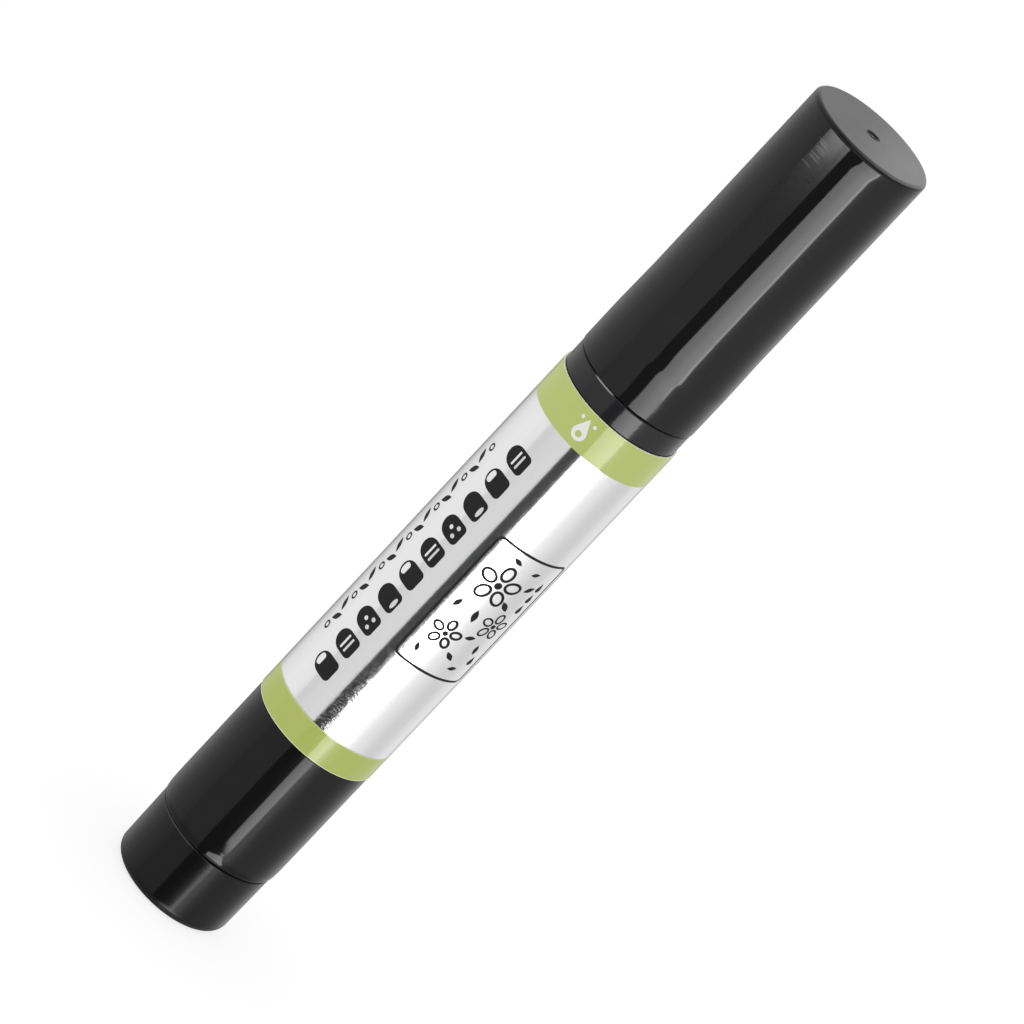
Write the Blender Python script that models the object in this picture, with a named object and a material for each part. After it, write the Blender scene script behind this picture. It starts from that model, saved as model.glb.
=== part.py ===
"""Twist-feed nail art pen, standing on its knob with the pen's axis along +Z.

Turning the knob turns the drive sleeve, whose spring arms click round the ratchet ring.
The sleeve is keyed to the lead screw, which climbs through the guide nut and pushes the
piston up the paint chamber. The paint leaves by the feed pipe into the brush.

Lengths are in metres. The origin is the centre of the knob's flat end. Each piece is
modelled from its own lower end and then set at its height on the axis.
"""

import math

import bmesh
import bpy
from mathutils import Matrix, Vector

# Facets of a full turn
SHELL_FACETS = 40
CORE_FACETS = 32
FINE_FACETS = 20
PIPE_FACETS = 12
ROUNDING_STEPS = 4
SHARP_ANGLE = math.radians(35)

# Clearances, and how far a cutter or a joining piece runs past its own job
SEAT_GAP = 0.0001
PRESS_GAP = 0.00008
RUNNING_GAP = 0.00015
OVERRUN = 0.0006
MERGE_DISTANCE = 0.000001

# Twist knob: the outer cup and the socket that grips the drive sleeve
KNOB_HEIGHT = 0.0094
KNOB_TOP_RADIUS = 0.0082
KNOB_BOTTOM_RADIUS = 0.0081
KNOB_EDGE_ROUNDING = 0.0013
KNOB_RIM_CHAMFER = 0.00015
KNOB_WALL = 0.0013
KNOB_FLOOR = 0.0018
KNOB_SOCKET_RADIUS = 0.0049
KNOB_SOCKET_DROP = 0.0006
KNOB_RIB_COUNT = 6
KNOB_RIB_WIDTH = 0.0008
KNOB_RIB_DROP = 0.0024

# Barrel tube
BARREL_LENGTH = 0.0737
BARREL_RADIUS = 0.00843
BARREL_BORE_RADIUS = 0.0072
BARREL_LIP_LENGTH = 0.0013
BARREL_LIP_INSET = 0.0002
BARREL_MOUTH_CHAMFER = 0.00025
BARREL_SHOULDER_RADIUS = 0.0065
BARREL_SHOULDER_LENGTH = 0.0012
KNOB_TO_BARREL_GAP = 0.0002

# Printed label sleeve, in its shallow recess
LABEL_START = 0.01834
LABEL_TOP_SETBACK = 0.00006
LABEL_RADIUS = 0.00852
LABEL_THICKNESS = 0.00016
LABEL_EDGE_CHAMFER = 0.00003

# Retainer bush, snapped into the barrel's lower end
RETAINER_SETBACK = 0.0003
RETAINER_FLOOR = 0.0025
RETAINER_RIM_RADIUS = 0.0059
RETAINER_BEAD_HEIGHT = 0.0008
RETAINER_BEAD_START = 0.0007
RETAINER_BEAD_DEPTH = 0.0002

# Keys of the ratchet ring and guide nut, and their slots in the barrel
KEY_COUNT = 4
KEY_WIDTH = 0.0014
KEY_DEPTH = 0.0004
NUT_KEY_HEIGHT = 0.0028

# Drive sleeve
STEM_HEX_RADIUS = 0.0039
STEM_BORE_RADIUS = 0.00255
JOURNAL_RADIUS = 0.0044
FLANGE_RADIUS = 0.0056
FLANGE_THICKNESS = 0.0012
SLEEVE_HUB_RADIUS = 0.0038
SLEEVE_TUBE_RADIUS = 0.0034
SLEEVE_KEY_LENGTH = 0.003
SLEEVE_TO_NUT_GAP = 0.0005

# Click mechanism
RATCHET_HEIGHT = 0.0032
RATCHET_TEETH = 16
RATCHET_ROOT_RADIUS = 0.00655
RATCHET_CREST_RADIUS = 0.00595
PAWL_COUNT = 2
PAWL_HEIGHT = 0.0024
PAWL_LIFT = 0.0003
PAWL_THICKNESS = 0.00065
PAWL_HUB_GAP = 0.0003
PAWL_TIP_GAP = 0.00015
PAWL_TIP_DEPTH = 0.0004
PAWL_ROOT_ANGLE = math.radians(16)
PAWL_SWEEP_ANGLE = math.radians(92)
PAWL_TIP_ANGLE = math.radians(9)
PAWL_STEPS = 8
PAWL_START_ANGLE = math.radians(7)

# Guide nut, with its long skirt
NUT_LENGTH = 0.0218
NUT_SKIRT_WALL = 0.0009
NUT_DISC_THICKNESS = 0.0029
NUT_BOSS_RADIUS = 0.004
NUT_BOSS_DEPTH = 0.0025
NUT_WINDOW_COUNT = 2
NUT_WINDOW_WIDTH = 0.004
NUT_WINDOW_HEIGHT = 0.008
NUT_WINDOW_RISE = 0.006

# Lead screw
SCREW_RADIUS = 0.0022
SCREW_FLAT_OFFSET = 0.0017
SCREW_FOOT_GAP = 0.0006
SCREW_NECK_RADIUS = 0.0016
SCREW_NECK_LENGTH = 0.0016
SCREW_HEAD_RADIUS = 0.0026
SCREW_HEAD_HEIGHT = 0.0016
SCREW_FOOT_CHAMFER = 0.0004

# Piston
PISTON_LENGTH = 0.008
PISTON_WAIST_RADIUS = 0.00685
PISTON_LIP_HEIGHT = 0.0013
PISTON_LIP_SLOPE = 0.0004
PISTON_VALLEY_DEPTH = 0.002
PISTON_CROWN_RADIUS = 0.0022
PISTON_CROWN_DROP = 0.0007
PISTON_LIP_WALL = 0.00065
PISTON_SOCKET_LIP = 0.001
PISTON_SOCKET_WALL = 0.0009
PISTON_HOLLOW_RADIUS = 0.0052
PISTON_HOLLOW_DEPTH = 0.0036
O_RING_SECTION_RADIUS = 0.00045
O_RING_SIDES = 8

# Mixing balls, which lie on the piston
BALL_RADIUS = 0.002
BALL_SECTORS = 16
BALL_BANDS = 10

# Reservoir plug
PLUG_DEPTH = 0.0056
PLUG_RECESS_DEPTH = 0.003
PLUG_SKIRT_WALL = 0.00062
PLUG_BOSS_RADIUS = 0.0021
PLUG_GROOVE_DROP = 0.0008
PLUG_INLET_RADIUS = 0.0005
PLUG_INLET_LENGTH = 0.0011
PLUG_SPIGOT_RADIUS = 0.0033
PLUG_SPIGOT_CHAMFER = 0.0003

# Feed pipe
PIPE_RADIUS = 0.0007
PIPE_BORE_RADIUS = 0.00045
PIPE_IN_BRUSH = 0.0026

# Front collar: the black band, its skirt in the barrel and its neck in the cap
COLLAR_BAND_HEIGHT = 0.0029
COLLAR_RADIUS = 0.00827
COLLAR_CHAMFER = 0.00012
COLLAR_SKIRT_DEPTH = 0.0022
COLLAR_NECK_RADIUS = 0.00695
COLLAR_NECK_HEIGHT = 0.0073
COLLAR_TOP_CHAMFER = 0.0005
COLLAR_HOLLOW_RADIUS = 0.0061
COLLAR_TOP_THICKNESS = 0.0039
SNAP_BEAD_RISE = 0.0034
SNAP_BEAD_LENGTH = 0.0009
SNAP_BEAD_DEPTH = 0.00015

# Nose cone
NOSE_SKIRT_RADIUS = 0.0045
NOSE_FLANGE_THICKNESS = 0.0015
NOSE_LAND_RADIUS = 0.0048
NOSE_LAND_HEIGHT = 0.0059
NOSE_SHOULDER_HEIGHT = 0.001
NOSE_CONE_BASE_RADIUS = 0.0042
NOSE_CONE_HEIGHT = 0.0115
NOSE_TIP_RADIUS = 0.00235
NOSE_TIP_HEIGHT = 0.0006
NOSE_CHAMBER_RADIUS = 0.0024
NOSE_SPIGOT_CLEARANCE = 0.0001

# Brush ferrule and tuft
FERRULE_LENGTH = 0.0101
FERRULE_RADIUS = 0.0017
FERRULE_WALL = 0.00025
FERRULE_SETBACK = 0.0003
TUFT_ROOT_SETBACK = 0.0008
TUFT_BELLY_RADIUS = 0.00155
TUFT_BELLY_SHARE = 0.25
TUFT_LENGTH = 0.0084
TUFT_TIP_RADIUS = 0.0001
TUFT_TAPER_STEPS = 5

# Cap shell and its inner cap
CAP_TO_COLLAR_GAP = 0.00014
CAP_LENGTH = 0.04056
CAP_RIM_RADIUS = 0.00837
CAP_BODY_RADIUS = 0.00825
CAP_FLARE_HEIGHT = 0.012
CAP_RIM_CHAMFER = 0.00012
CAP_TOP_ROUNDING = 0.0006
CAP_TOP_THICKNESS = 0.0016
CAP_SOCKET_HEIGHT = 0.0096
CAP_BORE_DRAFT = 0.00015
CAP_RIB_COUNT = 6
CAP_RIB_WIDTH = 0.0007
CAP_RIB_START = 0.0105
CAP_GATE_RADIUS = 0.0009
CAP_GATE_DEPTH = 0.0003
LINER_RADIUS = 0.0062
LINER_WALL = 0.0009
LINER_TOP_THICKNESS = 0.001
LINER_MOUTH_LIFT = 0.0004
LINER_SEAL_HEIGHT = 0.0014
LINER_SEAL_GAP = 0.0001

# Colours, as linear red, green and blue
BLACK_GLOSS_COLOUR = (0.022, 0.022, 0.023)
BLACK_SATIN_COLOUR = (0.026, 0.026, 0.027)
FOIL_COLOUR = (0.78, 0.78, 0.79)
NATURAL_COLOUR = (0.74, 0.74, 0.70)
WHITE_COLOUR = (0.83, 0.83, 0.82)
GREY_COLOUR = (0.30, 0.31, 0.32)
RUBBER_COLOUR = (0.035, 0.035, 0.035)
STEEL_COLOUR = (0.60, 0.60, 0.61)
BRISTLE_COLOUR = (0.55, 0.42, 0.26)

# Heights of the pieces on the axis, from the knob up
BARREL_BOTTOM = KNOB_HEIGHT + KNOB_TO_BARREL_GAP
BARREL_TOP = BARREL_BOTTOM + BARREL_LENGTH
LABEL_BOTTOM = BARREL_BOTTOM + LABEL_START
LABEL_LENGTH = BARREL_LENGTH - LABEL_START - LABEL_TOP_SETBACK
RETAINER_BOTTOM = BARREL_BOTTOM + RETAINER_SETBACK
FLANGE_BOTTOM = RETAINER_BOTTOM + RETAINER_FLOOR + SEAT_GAP
RATCHET_BOTTOM = FLANGE_BOTTOM + FLANGE_THICKNESS + SEAT_GAP
NUT_BOTTOM = RATCHET_BOTTOM + RATCHET_HEIGHT + SEAT_GAP
NUT_TOP = NUT_BOTTOM + NUT_LENGTH
SHOULDER_BOTTOM = NUT_TOP + SEAT_GAP
SHOULDER_TOP = SHOULDER_BOTTOM + BARREL_SHOULDER_LENGTH
PISTON_BOTTOM = SHOULDER_TOP + SEAT_GAP
STEM_BOTTOM = KNOB_FLOOR + SEAT_GAP
STEM_TOP = KNOB_HEIGHT - KNOB_SOCKET_DROP + SEAT_GAP
SLEEVE_TOP = NUT_TOP - NUT_DISC_THICKNESS - NUT_BOSS_DEPTH - SLEEVE_TO_NUT_GAP
SCREW_BOTTOM = KNOB_FLOOR + SCREW_FOOT_GAP
SCREW_HEAD_BOTTOM = PISTON_BOTTOM + PISTON_SOCKET_LIP + SEAT_GAP
PLUG_TOP = BARREL_TOP - COLLAR_SKIRT_DEPTH - SEAT_GAP
PLUG_BOTTOM = PLUG_TOP - PLUG_DEPTH
COLLAR_BOTTOM = BARREL_TOP + SEAT_GAP
COLLAR_TOP = COLLAR_BOTTOM + COLLAR_BAND_HEIGHT
NECK_TOP = COLLAR_TOP + COLLAR_NECK_HEIGHT
NOSE_BOTTOM = PLUG_TOP + SEAT_GAP
NOSE_FLANGE_TOP = NECK_TOP - COLLAR_TOP_THICKNESS - SEAT_GAP
NOSE_LAND_TOP = NOSE_FLANGE_TOP + NOSE_LAND_HEIGHT
NOSE_CONE_BOTTOM = NOSE_LAND_TOP + NOSE_SHOULDER_HEIGHT
NOSE_TOP = NOSE_CONE_BOTTOM + NOSE_CONE_HEIGHT + NOSE_TIP_HEIGHT
FERRULE_TOP = NOSE_TOP - FERRULE_SETBACK
FERRULE_BOTTOM = FERRULE_TOP - FERRULE_LENGTH
TUFT_BOTTOM = FERRULE_BOTTOM + TUFT_ROOT_SETBACK
PIPE_BOTTOM = PLUG_BOTTOM + PLUG_INLET_LENGTH + SEAT_GAP
PIPE_TOP = TUFT_BOTTOM + PIPE_IN_BRUSH
CAP_BOTTOM = COLLAR_TOP + CAP_TO_COLLAR_GAP
LINER_BOTTOM = NECK_TOP + LINER_MOUTH_LIFT
LINER_TOP = CAP_BOTTOM + CAP_LENGTH - CAP_TOP_THICKNESS - SEAT_GAP

# Radii that follow from the bore and the clearances
CORE_RADIUS = BARREL_BORE_RADIUS - PRESS_GAP
O_RING_GROOVE_RADIUS = CORE_RADIUS - 2 * O_RING_SECTION_RADIUS - PRESS_GAP
O_RING_GROOVE_HEIGHT = 2 * (O_RING_SECTION_RADIUS + SEAT_GAP)
CAP_SOCKET_RADIUS = COLLAR_NECK_RADIUS + SNAP_BEAD_DEPTH + PRESS_GAP
CAP_BORE_RADIUS = CAP_SOCKET_RADIUS - CAP_BORE_DRAFT


def clear_scene():
    """Remove everything that the scene starts with."""
    for obj in list(bpy.data.objects):
        bpy.data.objects.remove(obj, do_unlink=True)


def material(name, colour, roughness, metallic=0.0):
    """Return the named material, made on its first use."""
    found = bpy.data.materials.get(name)
    if found:
        return found
    made = bpy.data.materials.new(name)
    made.use_nodes = True
    made.diffuse_color = (*colour, 1.0)
    shader = made.node_tree.nodes["Principled BSDF"]
    shader.inputs["Base Color"].default_value = (*colour, 1.0)
    shader.inputs["Roughness"].default_value = roughness
    shader.inputs["Metallic"].default_value = metallic
    return made


def black_gloss():
    return material("black_gloss_plastic", BLACK_GLOSS_COLOUR, 0.22)


def black_satin():
    return material("black_satin_plastic", BLACK_SATIN_COLOUR, 0.38)


def foil():
    return material("silver_foil_label", FOIL_COLOUR, 0.25, 0.9)


def natural_plastic():
    return material("natural_plastic", NATURAL_COLOUR, 0.45)


def white_plastic():
    return material("white_plastic", WHITE_COLOUR, 0.4)


def grey_plastic():
    return material("grey_plastic", GREY_COLOUR, 0.4)


def rubber():
    return material("black_rubber", RUBBER_COLOUR, 0.8)


def steel():
    return material("polished_steel", STEEL_COLOUR, 0.2, 1.0)


def bristle():
    return material("nylon_bristle", BRISTLE_COLOUR, 0.5)


def rounding(centre_r, centre_z, radius_r, radius_z, start_degrees, end_degrees):
    """Return outline points on a quarter of an ellipse about a centre."""
    points = []
    for step in range(ROUNDING_STEPS + 1):
        share = step / ROUNDING_STEPS
        angle = math.radians(start_degrees + share * (end_degrees - start_degrees))
        r = centre_r + radius_r * math.cos(angle)
        z = centre_z + radius_z * math.sin(angle)
        points.append((r, z))
    return points


def finish_mesh(name, bm, look):
    """Turn a bmesh into a smooth-shaded object."""
    bmesh.ops.recalc_face_normals(bm, faces=bm.faces)
    mesh = bpy.data.meshes.new(name)
    bm.to_mesh(mesh)
    bm.free()
    mesh.shade_smooth()
    mesh.set_sharp_from_angle(angle=SHARP_ANGLE)
    obj = bpy.data.objects.new(name, mesh)
    bpy.context.scene.collection.objects.link(obj)
    if look:
        mesh.materials.append(look)
    return obj


def turned(name, outline, facets, look=None):
    """Spin an outline of (radius, height) points round the axis into a solid.

    An outline that starts and ends on the axis is left open there; any other is closed.
    """
    bm = bmesh.new()
    verts = [bm.verts.new((r, 0, z)) for r, z in outline]
    edges = [bm.edges.new(pair) for pair in zip(verts, verts[1:])]
    on_axis = outline[0][0] == 0 and outline[-1][0] == 0
    if not on_axis:
        edges.append(bm.edges.new((verts[-1], verts[0])))
    bmesh.ops.spin(
        bm,
        geom=verts + edges,
        cent=(0, 0, 0),
        axis=(0, 0, 1),
        angle=math.tau,
        steps=facets,
        use_merge=True,
    )
    bmesh.ops.remove_doubles(bm, verts=bm.verts, dist=MERGE_DISTANCE)
    return finish_mesh(name, bm, look)


def prism(name, outline, bottom, top, look=None):
    """Extrude an outline of (x, y) points from one height to another."""
    bm = bmesh.new()
    face = bm.faces.new([bm.verts.new((x, y, bottom)) for x, y in outline])
    extruded = bmesh.ops.extrude_face_region(bm, geom=[face])
    risen = [item for item in extruded["geom"] if isinstance(item, bmesh.types.BMVert)]
    bmesh.ops.translate(bm, vec=(0, 0, top - bottom), verts=risen)
    return finish_mesh(name, bm, look)


def spokes(name, count, inner, outer, width, bottom, top):
    """Return a ring of upright blocks that point at the axis."""
    bm = bmesh.new()
    size = Matrix.Diagonal((outer - inner, width, top - bottom, 1.0))
    shift = Matrix.Translation(((inner + outer) / 2, 0, (bottom + top) / 2))
    for index in range(count):
        turn = Matrix.Rotation(math.tau * index / count, 4, "Z")
        bmesh.ops.create_cube(bm, size=1.0, matrix=turn @ shift @ size)
    return finish_mesh(name, bm, None)


def polar(radius, angle):
    """Return the x and y of a point given by radius and angle."""
    return radius * math.cos(angle), radius * math.sin(angle)


def polygon(radius, sides):
    """Return the corners of a regular polygon about the axis."""
    return [polar(radius, math.tau * side / sides) for side in range(sides)]


def combine(target, tool, operation):
    """Join or cut a piece by a helper that goes wherever the piece goes."""
    tool.parent = target
    tool.hide_render = True
    tool.display_type = "WIRE"
    modifier = target.modifiers.new(name=tool.name, type="BOOLEAN")
    modifier.operation = operation
    modifier.solver = "EXACT"
    modifier.object = tool


def joint_empty(name, height):
    """Return an empty on the axis, which carries the pieces that move together."""
    empty = bpy.data.objects.new(name, None)
    empty.location = (0, 0, height)
    bpy.context.scene.collection.objects.link(empty)
    return empty


def place(piece, height, carrier):
    """Set a piece at its height on the axis, carried by a joint's empty."""
    piece.parent = carrier
    piece.location = (0, 0, height - carrier.location.z)


def make_twist_knob():
    """The cup that is turned, with a ribbed hexagonal socket for the drive sleeve."""
    inner = KNOB_TOP_RADIUS - KNOB_WALL
    socket_top = KNOB_HEIGHT - KNOB_SOCKET_DROP
    fillet_centre = KNOB_BOTTOM_RADIUS - KNOB_EDGE_ROUNDING
    outline = [(0, 0)]
    outline += rounding(
        fillet_centre, KNOB_EDGE_ROUNDING, KNOB_EDGE_ROUNDING, KNOB_EDGE_ROUNDING, -90, 0
    )
    outline += [
        (KNOB_TOP_RADIUS, KNOB_HEIGHT - KNOB_RIM_CHAMFER),
        (KNOB_TOP_RADIUS - KNOB_RIM_CHAMFER, KNOB_HEIGHT),
        (inner, KNOB_HEIGHT),
        (inner, KNOB_FLOOR),
        (KNOB_SOCKET_RADIUS, KNOB_FLOOR),
        (KNOB_SOCKET_RADIUS, socket_top),
        (0, socket_top),
    ]
    knob = turned("twist_knob", outline, SHELL_FACETS, black_satin())
    ribs = spokes(
        "knob_ribs",
        KNOB_RIB_COUNT,
        KNOB_SOCKET_RADIUS - OVERRUN,
        inner + OVERRUN,
        KNOB_RIB_WIDTH,
        KNOB_FLOOR - OVERRUN,
        KNOB_HEIGHT - KNOB_RIB_DROP,
    )
    combine(knob, ribs, "UNION")
    hexagon = polygon(STEM_HEX_RADIUS + PRESS_GAP, 6)
    socket = prism("knob_socket_cutter", hexagon, KNOB_FLOOR, socket_top + OVERRUN)
    combine(knob, socket, "DIFFERENCE")
    return knob


def make_drive_sleeve():
    """The sleeve that turns with the knob: stem, journal, flange, spring arms and key."""
    length = SLEEVE_TOP - STEM_BOTTOM
    journal_bottom = STEM_TOP - STEM_BOTTOM
    flange_bottom = FLANGE_BOTTOM - STEM_BOTTOM
    flange_top = flange_bottom + FLANGE_THICKNESS
    pawl_bottom = flange_top + PAWL_LIFT
    hub_top = pawl_bottom + PAWL_HEIGHT + PAWL_LIFT
    outline = [
        (0, journal_bottom),
        (JOURNAL_RADIUS, journal_bottom),
        (JOURNAL_RADIUS, flange_bottom),
        (FLANGE_RADIUS, flange_bottom),
        (FLANGE_RADIUS, flange_top),
        (SLEEVE_HUB_RADIUS, flange_top),
        (SLEEVE_HUB_RADIUS, hub_top),
        (SLEEVE_TUBE_RADIUS, hub_top + SLEEVE_HUB_RADIUS - SLEEVE_TUBE_RADIUS),
        (SLEEVE_TUBE_RADIUS, length),
        (0, length),
    ]
    sleeve = turned("drive_sleeve", outline, CORE_FACETS, white_plastic())
    hexagon = polygon(STEM_HEX_RADIUS, 6)
    stem = prism("sleeve_stem", hexagon, 0, journal_bottom + OVERRUN)
    combine(sleeve, stem, "UNION")
    for index in range(PAWL_COUNT):
        start = PAWL_START_ANGLE + math.tau * index / PAWL_COUNT
        arm = prism(
            f"sleeve_spring_arm_{index + 1}",
            spring_arm_outline(start),
            pawl_bottom,
            pawl_bottom + PAWL_HEIGHT,
        )
        combine(sleeve, arm, "UNION")
    bore_outline = [
        (0, -OVERRUN),
        (STEM_BORE_RADIUS, -OVERRUN),
        (STEM_BORE_RADIUS, length - SLEEVE_KEY_LENGTH),
        (0, length - SLEEVE_KEY_LENGTH),
    ]
    combine(sleeve, turned("sleeve_bore_cutter", bore_outline, FINE_FACETS), "DIFFERENCE")
    key = prism(
        "sleeve_key_cutter",
        two_flat_outline(SCREW_RADIUS + RUNNING_GAP, SCREW_FLAT_OFFSET + RUNNING_GAP),
        length - SLEEVE_KEY_LENGTH - OVERRUN,
        length + OVERRUN,
    )
    combine(sleeve, key, "DIFFERENCE")
    return sleeve


def spring_arm_outline(start):
    """Return the outline of one arm, which trails behind the turn of the knob.

    The arm leaves the hub, spirals outwards and ends in a tip just clear of the crests.
    """
    inner_start = SLEEVE_HUB_RADIUS + PAWL_HUB_GAP
    tip_radius = RATCHET_CREST_RADIUS - PAWL_TIP_GAP
    outer_end = tip_radius - PAWL_TIP_DEPTH
    inner_end = outer_end - PAWL_THICKNESS
    root_radius = SLEEVE_HUB_RADIUS - PAWL_THICKNESS
    inner_side = [polar(root_radius, start), polar(root_radius, start - PAWL_ROOT_ANGLE)]
    outer_side = [polar(inner_start + PAWL_THICKNESS, start)]
    for step in range(PAWL_STEPS + 1):
        share = step / PAWL_STEPS
        angle = start - PAWL_ROOT_ANGLE - share * PAWL_SWEEP_ANGLE
        inner = inner_start + share * (inner_end - inner_start)
        inner_side.append(polar(inner, angle))
        outer_side.append(polar(inner + PAWL_THICKNESS, angle))
    tip_angle = start - PAWL_ROOT_ANGLE - PAWL_SWEEP_ANGLE - PAWL_TIP_ANGLE
    tip = [polar(inner_end, tip_angle), polar(tip_radius, tip_angle)]
    return inner_side + tip + outer_side[::-1]


def two_flat_outline(radius, flat_offset):
    """Return a circle with two flats, the section of the screw and of its key."""
    corner = math.acos(flat_offset / radius)
    half_span = math.pi / 2 - corner
    steps = FINE_FACETS // 4
    points = []
    for middle in (0, math.pi):
        for step in range(steps + 1):
            angle = middle + half_span * (2 * step / steps - 1)
            points.append(polar(radius, angle))
    return points


def make_ratchet_ring():
    """The fixed ring of saw teeth that the spring arms click over."""
    ring = prism("ratchet_ring", keyed_outline(), 0, RATCHET_HEIGHT, grey_plastic())
    teeth = []
    for tooth in range(RATCHET_TEETH):
        root_angle = math.tau * tooth / RATCHET_TEETH
        crest_angle = math.tau * (tooth + 1) / RATCHET_TEETH
        teeth.append(polar(RATCHET_ROOT_RADIUS, root_angle))
        teeth.append(polar(RATCHET_CREST_RADIUS, crest_angle))
    cutter = prism("ratchet_tooth_cutter", teeth, -OVERRUN, RATCHET_HEIGHT + OVERRUN)
    combine(ring, cutter, "DIFFERENCE")
    return ring


def keyed_outline():
    """Return the outline of a core piece with the keys that stop it from turning."""
    half_width = KEY_WIDTH / 2
    half_angle = math.asin(half_width / CORE_RADIUS)
    foot_radius = CORE_RADIUS * math.cos(half_angle)
    spacing = math.tau / KEY_COUNT
    steps = CORE_FACETS // KEY_COUNT
    points = []
    for key in range(KEY_COUNT):
        turn = Matrix.Rotation(key * spacing, 2)
        corners = [
            (foot_radius, -half_width),
            (CORE_RADIUS + KEY_DEPTH, -half_width),
            (CORE_RADIUS + KEY_DEPTH, half_width),
            (foot_radius, half_width),
        ]
        points += [tuple(turn @ Vector(corner)) for corner in corners]
        for step in range(1, steps):
            angle = key * spacing + half_angle + step * (spacing - 2 * half_angle) / steps
            points.append(polar(CORE_RADIUS, angle))
    return points


def make_guide_nut():
    """The nut that the screw climbs through, held off the ratchet ring by its skirt."""
    skirt_inner = CORE_RADIUS - NUT_SKIRT_WALL
    disc_bottom = NUT_LENGTH - NUT_DISC_THICKNESS
    boss_bottom = disc_bottom - NUT_BOSS_DEPTH
    bore = SCREW_RADIUS + RUNNING_GAP
    outline = [
        (skirt_inner, 0),
        (CORE_RADIUS, 0),
        (CORE_RADIUS, NUT_LENGTH),
        (bore, NUT_LENGTH),
        (bore, boss_bottom),
        (NUT_BOSS_RADIUS, boss_bottom),
        (NUT_BOSS_RADIUS, disc_bottom),
        (skirt_inner, disc_bottom),
    ]
    nut = turned("guide_nut", outline, CORE_FACETS, natural_plastic())
    keys = spokes(
        "guide_nut_keys",
        KEY_COUNT,
        CORE_RADIUS - NUT_SKIRT_WALL / 2,
        CORE_RADIUS + KEY_DEPTH,
        KEY_WIDTH,
        0,
        NUT_KEY_HEIGHT,
    )
    combine(nut, keys, "UNION")
    windows = spokes(
        "guide_nut_window_cutter",
        NUT_WINDOW_COUNT,
        skirt_inner - NUT_SKIRT_WALL,
        CORE_RADIUS + OVERRUN,
        NUT_WINDOW_WIDTH,
        NUT_WINDOW_RISE,
        NUT_WINDOW_RISE + NUT_WINDOW_HEIGHT,
    )
    combine(nut, windows, "DIFFERENCE")
    return nut


def make_retainer_bush():
    """The bush that snaps into the barrel and carries the sleeve's journal and flange."""
    bore = JOURNAL_RADIUS + RUNNING_GAP
    height = RATCHET_BOTTOM - SEAT_GAP - RETAINER_BOTTOM
    bead_radius = CORE_RADIUS + RETAINER_BEAD_DEPTH
    bead_middle = RETAINER_BEAD_START + RETAINER_BEAD_HEIGHT / 2
    bead_top = RETAINER_BEAD_START + RETAINER_BEAD_HEIGHT
    outline = [
        (bore, 0),
        (CORE_RADIUS - RETAINER_BEAD_DEPTH, 0),
        (CORE_RADIUS, RETAINER_BEAD_DEPTH),
        (CORE_RADIUS, RETAINER_BEAD_START),
        (bead_radius, bead_middle),
        (CORE_RADIUS, bead_top),
        (CORE_RADIUS, height),
        (RETAINER_RIM_RADIUS, height),
        (RETAINER_RIM_RADIUS, RETAINER_FLOOR),
        (bore, RETAINER_FLOOR),
    ]
    return turned("retainer_bush", outline, CORE_FACETS, grey_plastic())


def make_barrel_tube():
    """The tube, with its lower lip, label recess, bush groove, key slots and shoulder."""
    recess_radius = LABEL_RADIUS - LABEL_THICKNESS - PRESS_GAP
    recess_bottom = LABEL_START - SEAT_GAP
    groove_start = RETAINER_SETBACK + RETAINER_BEAD_START
    groove_radius = BARREL_BORE_RADIUS + RETAINER_BEAD_DEPTH
    shoulder_bottom = SHOULDER_BOTTOM - BARREL_BOTTOM
    shoulder_top = SHOULDER_TOP - BARREL_BOTTOM
    mouth_radius = BARREL_BORE_RADIUS + BARREL_MOUTH_CHAMFER
    lip_radius = BARREL_RADIUS - BARREL_LIP_INSET
    outline = [(mouth_radius, 0)]
    outline += rounding(lip_radius, BARREL_LIP_LENGTH, BARREL_LIP_INSET, BARREL_LIP_LENGTH, -90, 0)
    outline += [
        (BARREL_RADIUS, recess_bottom),
        (recess_radius, recess_bottom),
        (recess_radius, BARREL_LENGTH),
        (mouth_radius, BARREL_LENGTH),
        (BARREL_BORE_RADIUS, BARREL_LENGTH - BARREL_MOUTH_CHAMFER),
        (BARREL_BORE_RADIUS, shoulder_top),
        (BARREL_SHOULDER_RADIUS, shoulder_top),
        (BARREL_SHOULDER_RADIUS, shoulder_bottom),
        (BARREL_BORE_RADIUS, shoulder_bottom),
        (BARREL_BORE_RADIUS, groove_start + RETAINER_BEAD_HEIGHT),
        (groove_radius, groove_start + RETAINER_BEAD_HEIGHT / 2),
        (BARREL_BORE_RADIUS, groove_start),
        (BARREL_BORE_RADIUS, BARREL_MOUTH_CHAMFER),
    ]
    barrel = turned("barrel_tube", outline, SHELL_FACETS, black_gloss())
    slots = spokes(
        "barrel_slot_cutter",
        KEY_COUNT,
        BARREL_BORE_RADIUS - 2 * KEY_DEPTH,
        BARREL_BORE_RADIUS + KEY_DEPTH,
        KEY_WIDTH + 2 * PRESS_GAP,
        -OVERRUN,
        NUT_BOTTOM + NUT_KEY_HEIGHT + SEAT_GAP - BARREL_BOTTOM,
    )
    combine(barrel, slots, "DIFFERENCE")
    return barrel


def make_label_sleeve():
    """The printed film wrapped round the barrel."""
    inner = LABEL_RADIUS - LABEL_THICKNESS
    outline = [
        (inner, 0),
        (LABEL_RADIUS - LABEL_EDGE_CHAMFER, 0),
        (LABEL_RADIUS, LABEL_EDGE_CHAMFER),
        (LABEL_RADIUS, LABEL_LENGTH - LABEL_EDGE_CHAMFER),
        (LABEL_RADIUS - LABEL_EDGE_CHAMFER, LABEL_LENGTH),
        (inner, LABEL_LENGTH),
    ]
    return turned("label_sleeve", outline, SHELL_FACETS, foil())


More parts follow.
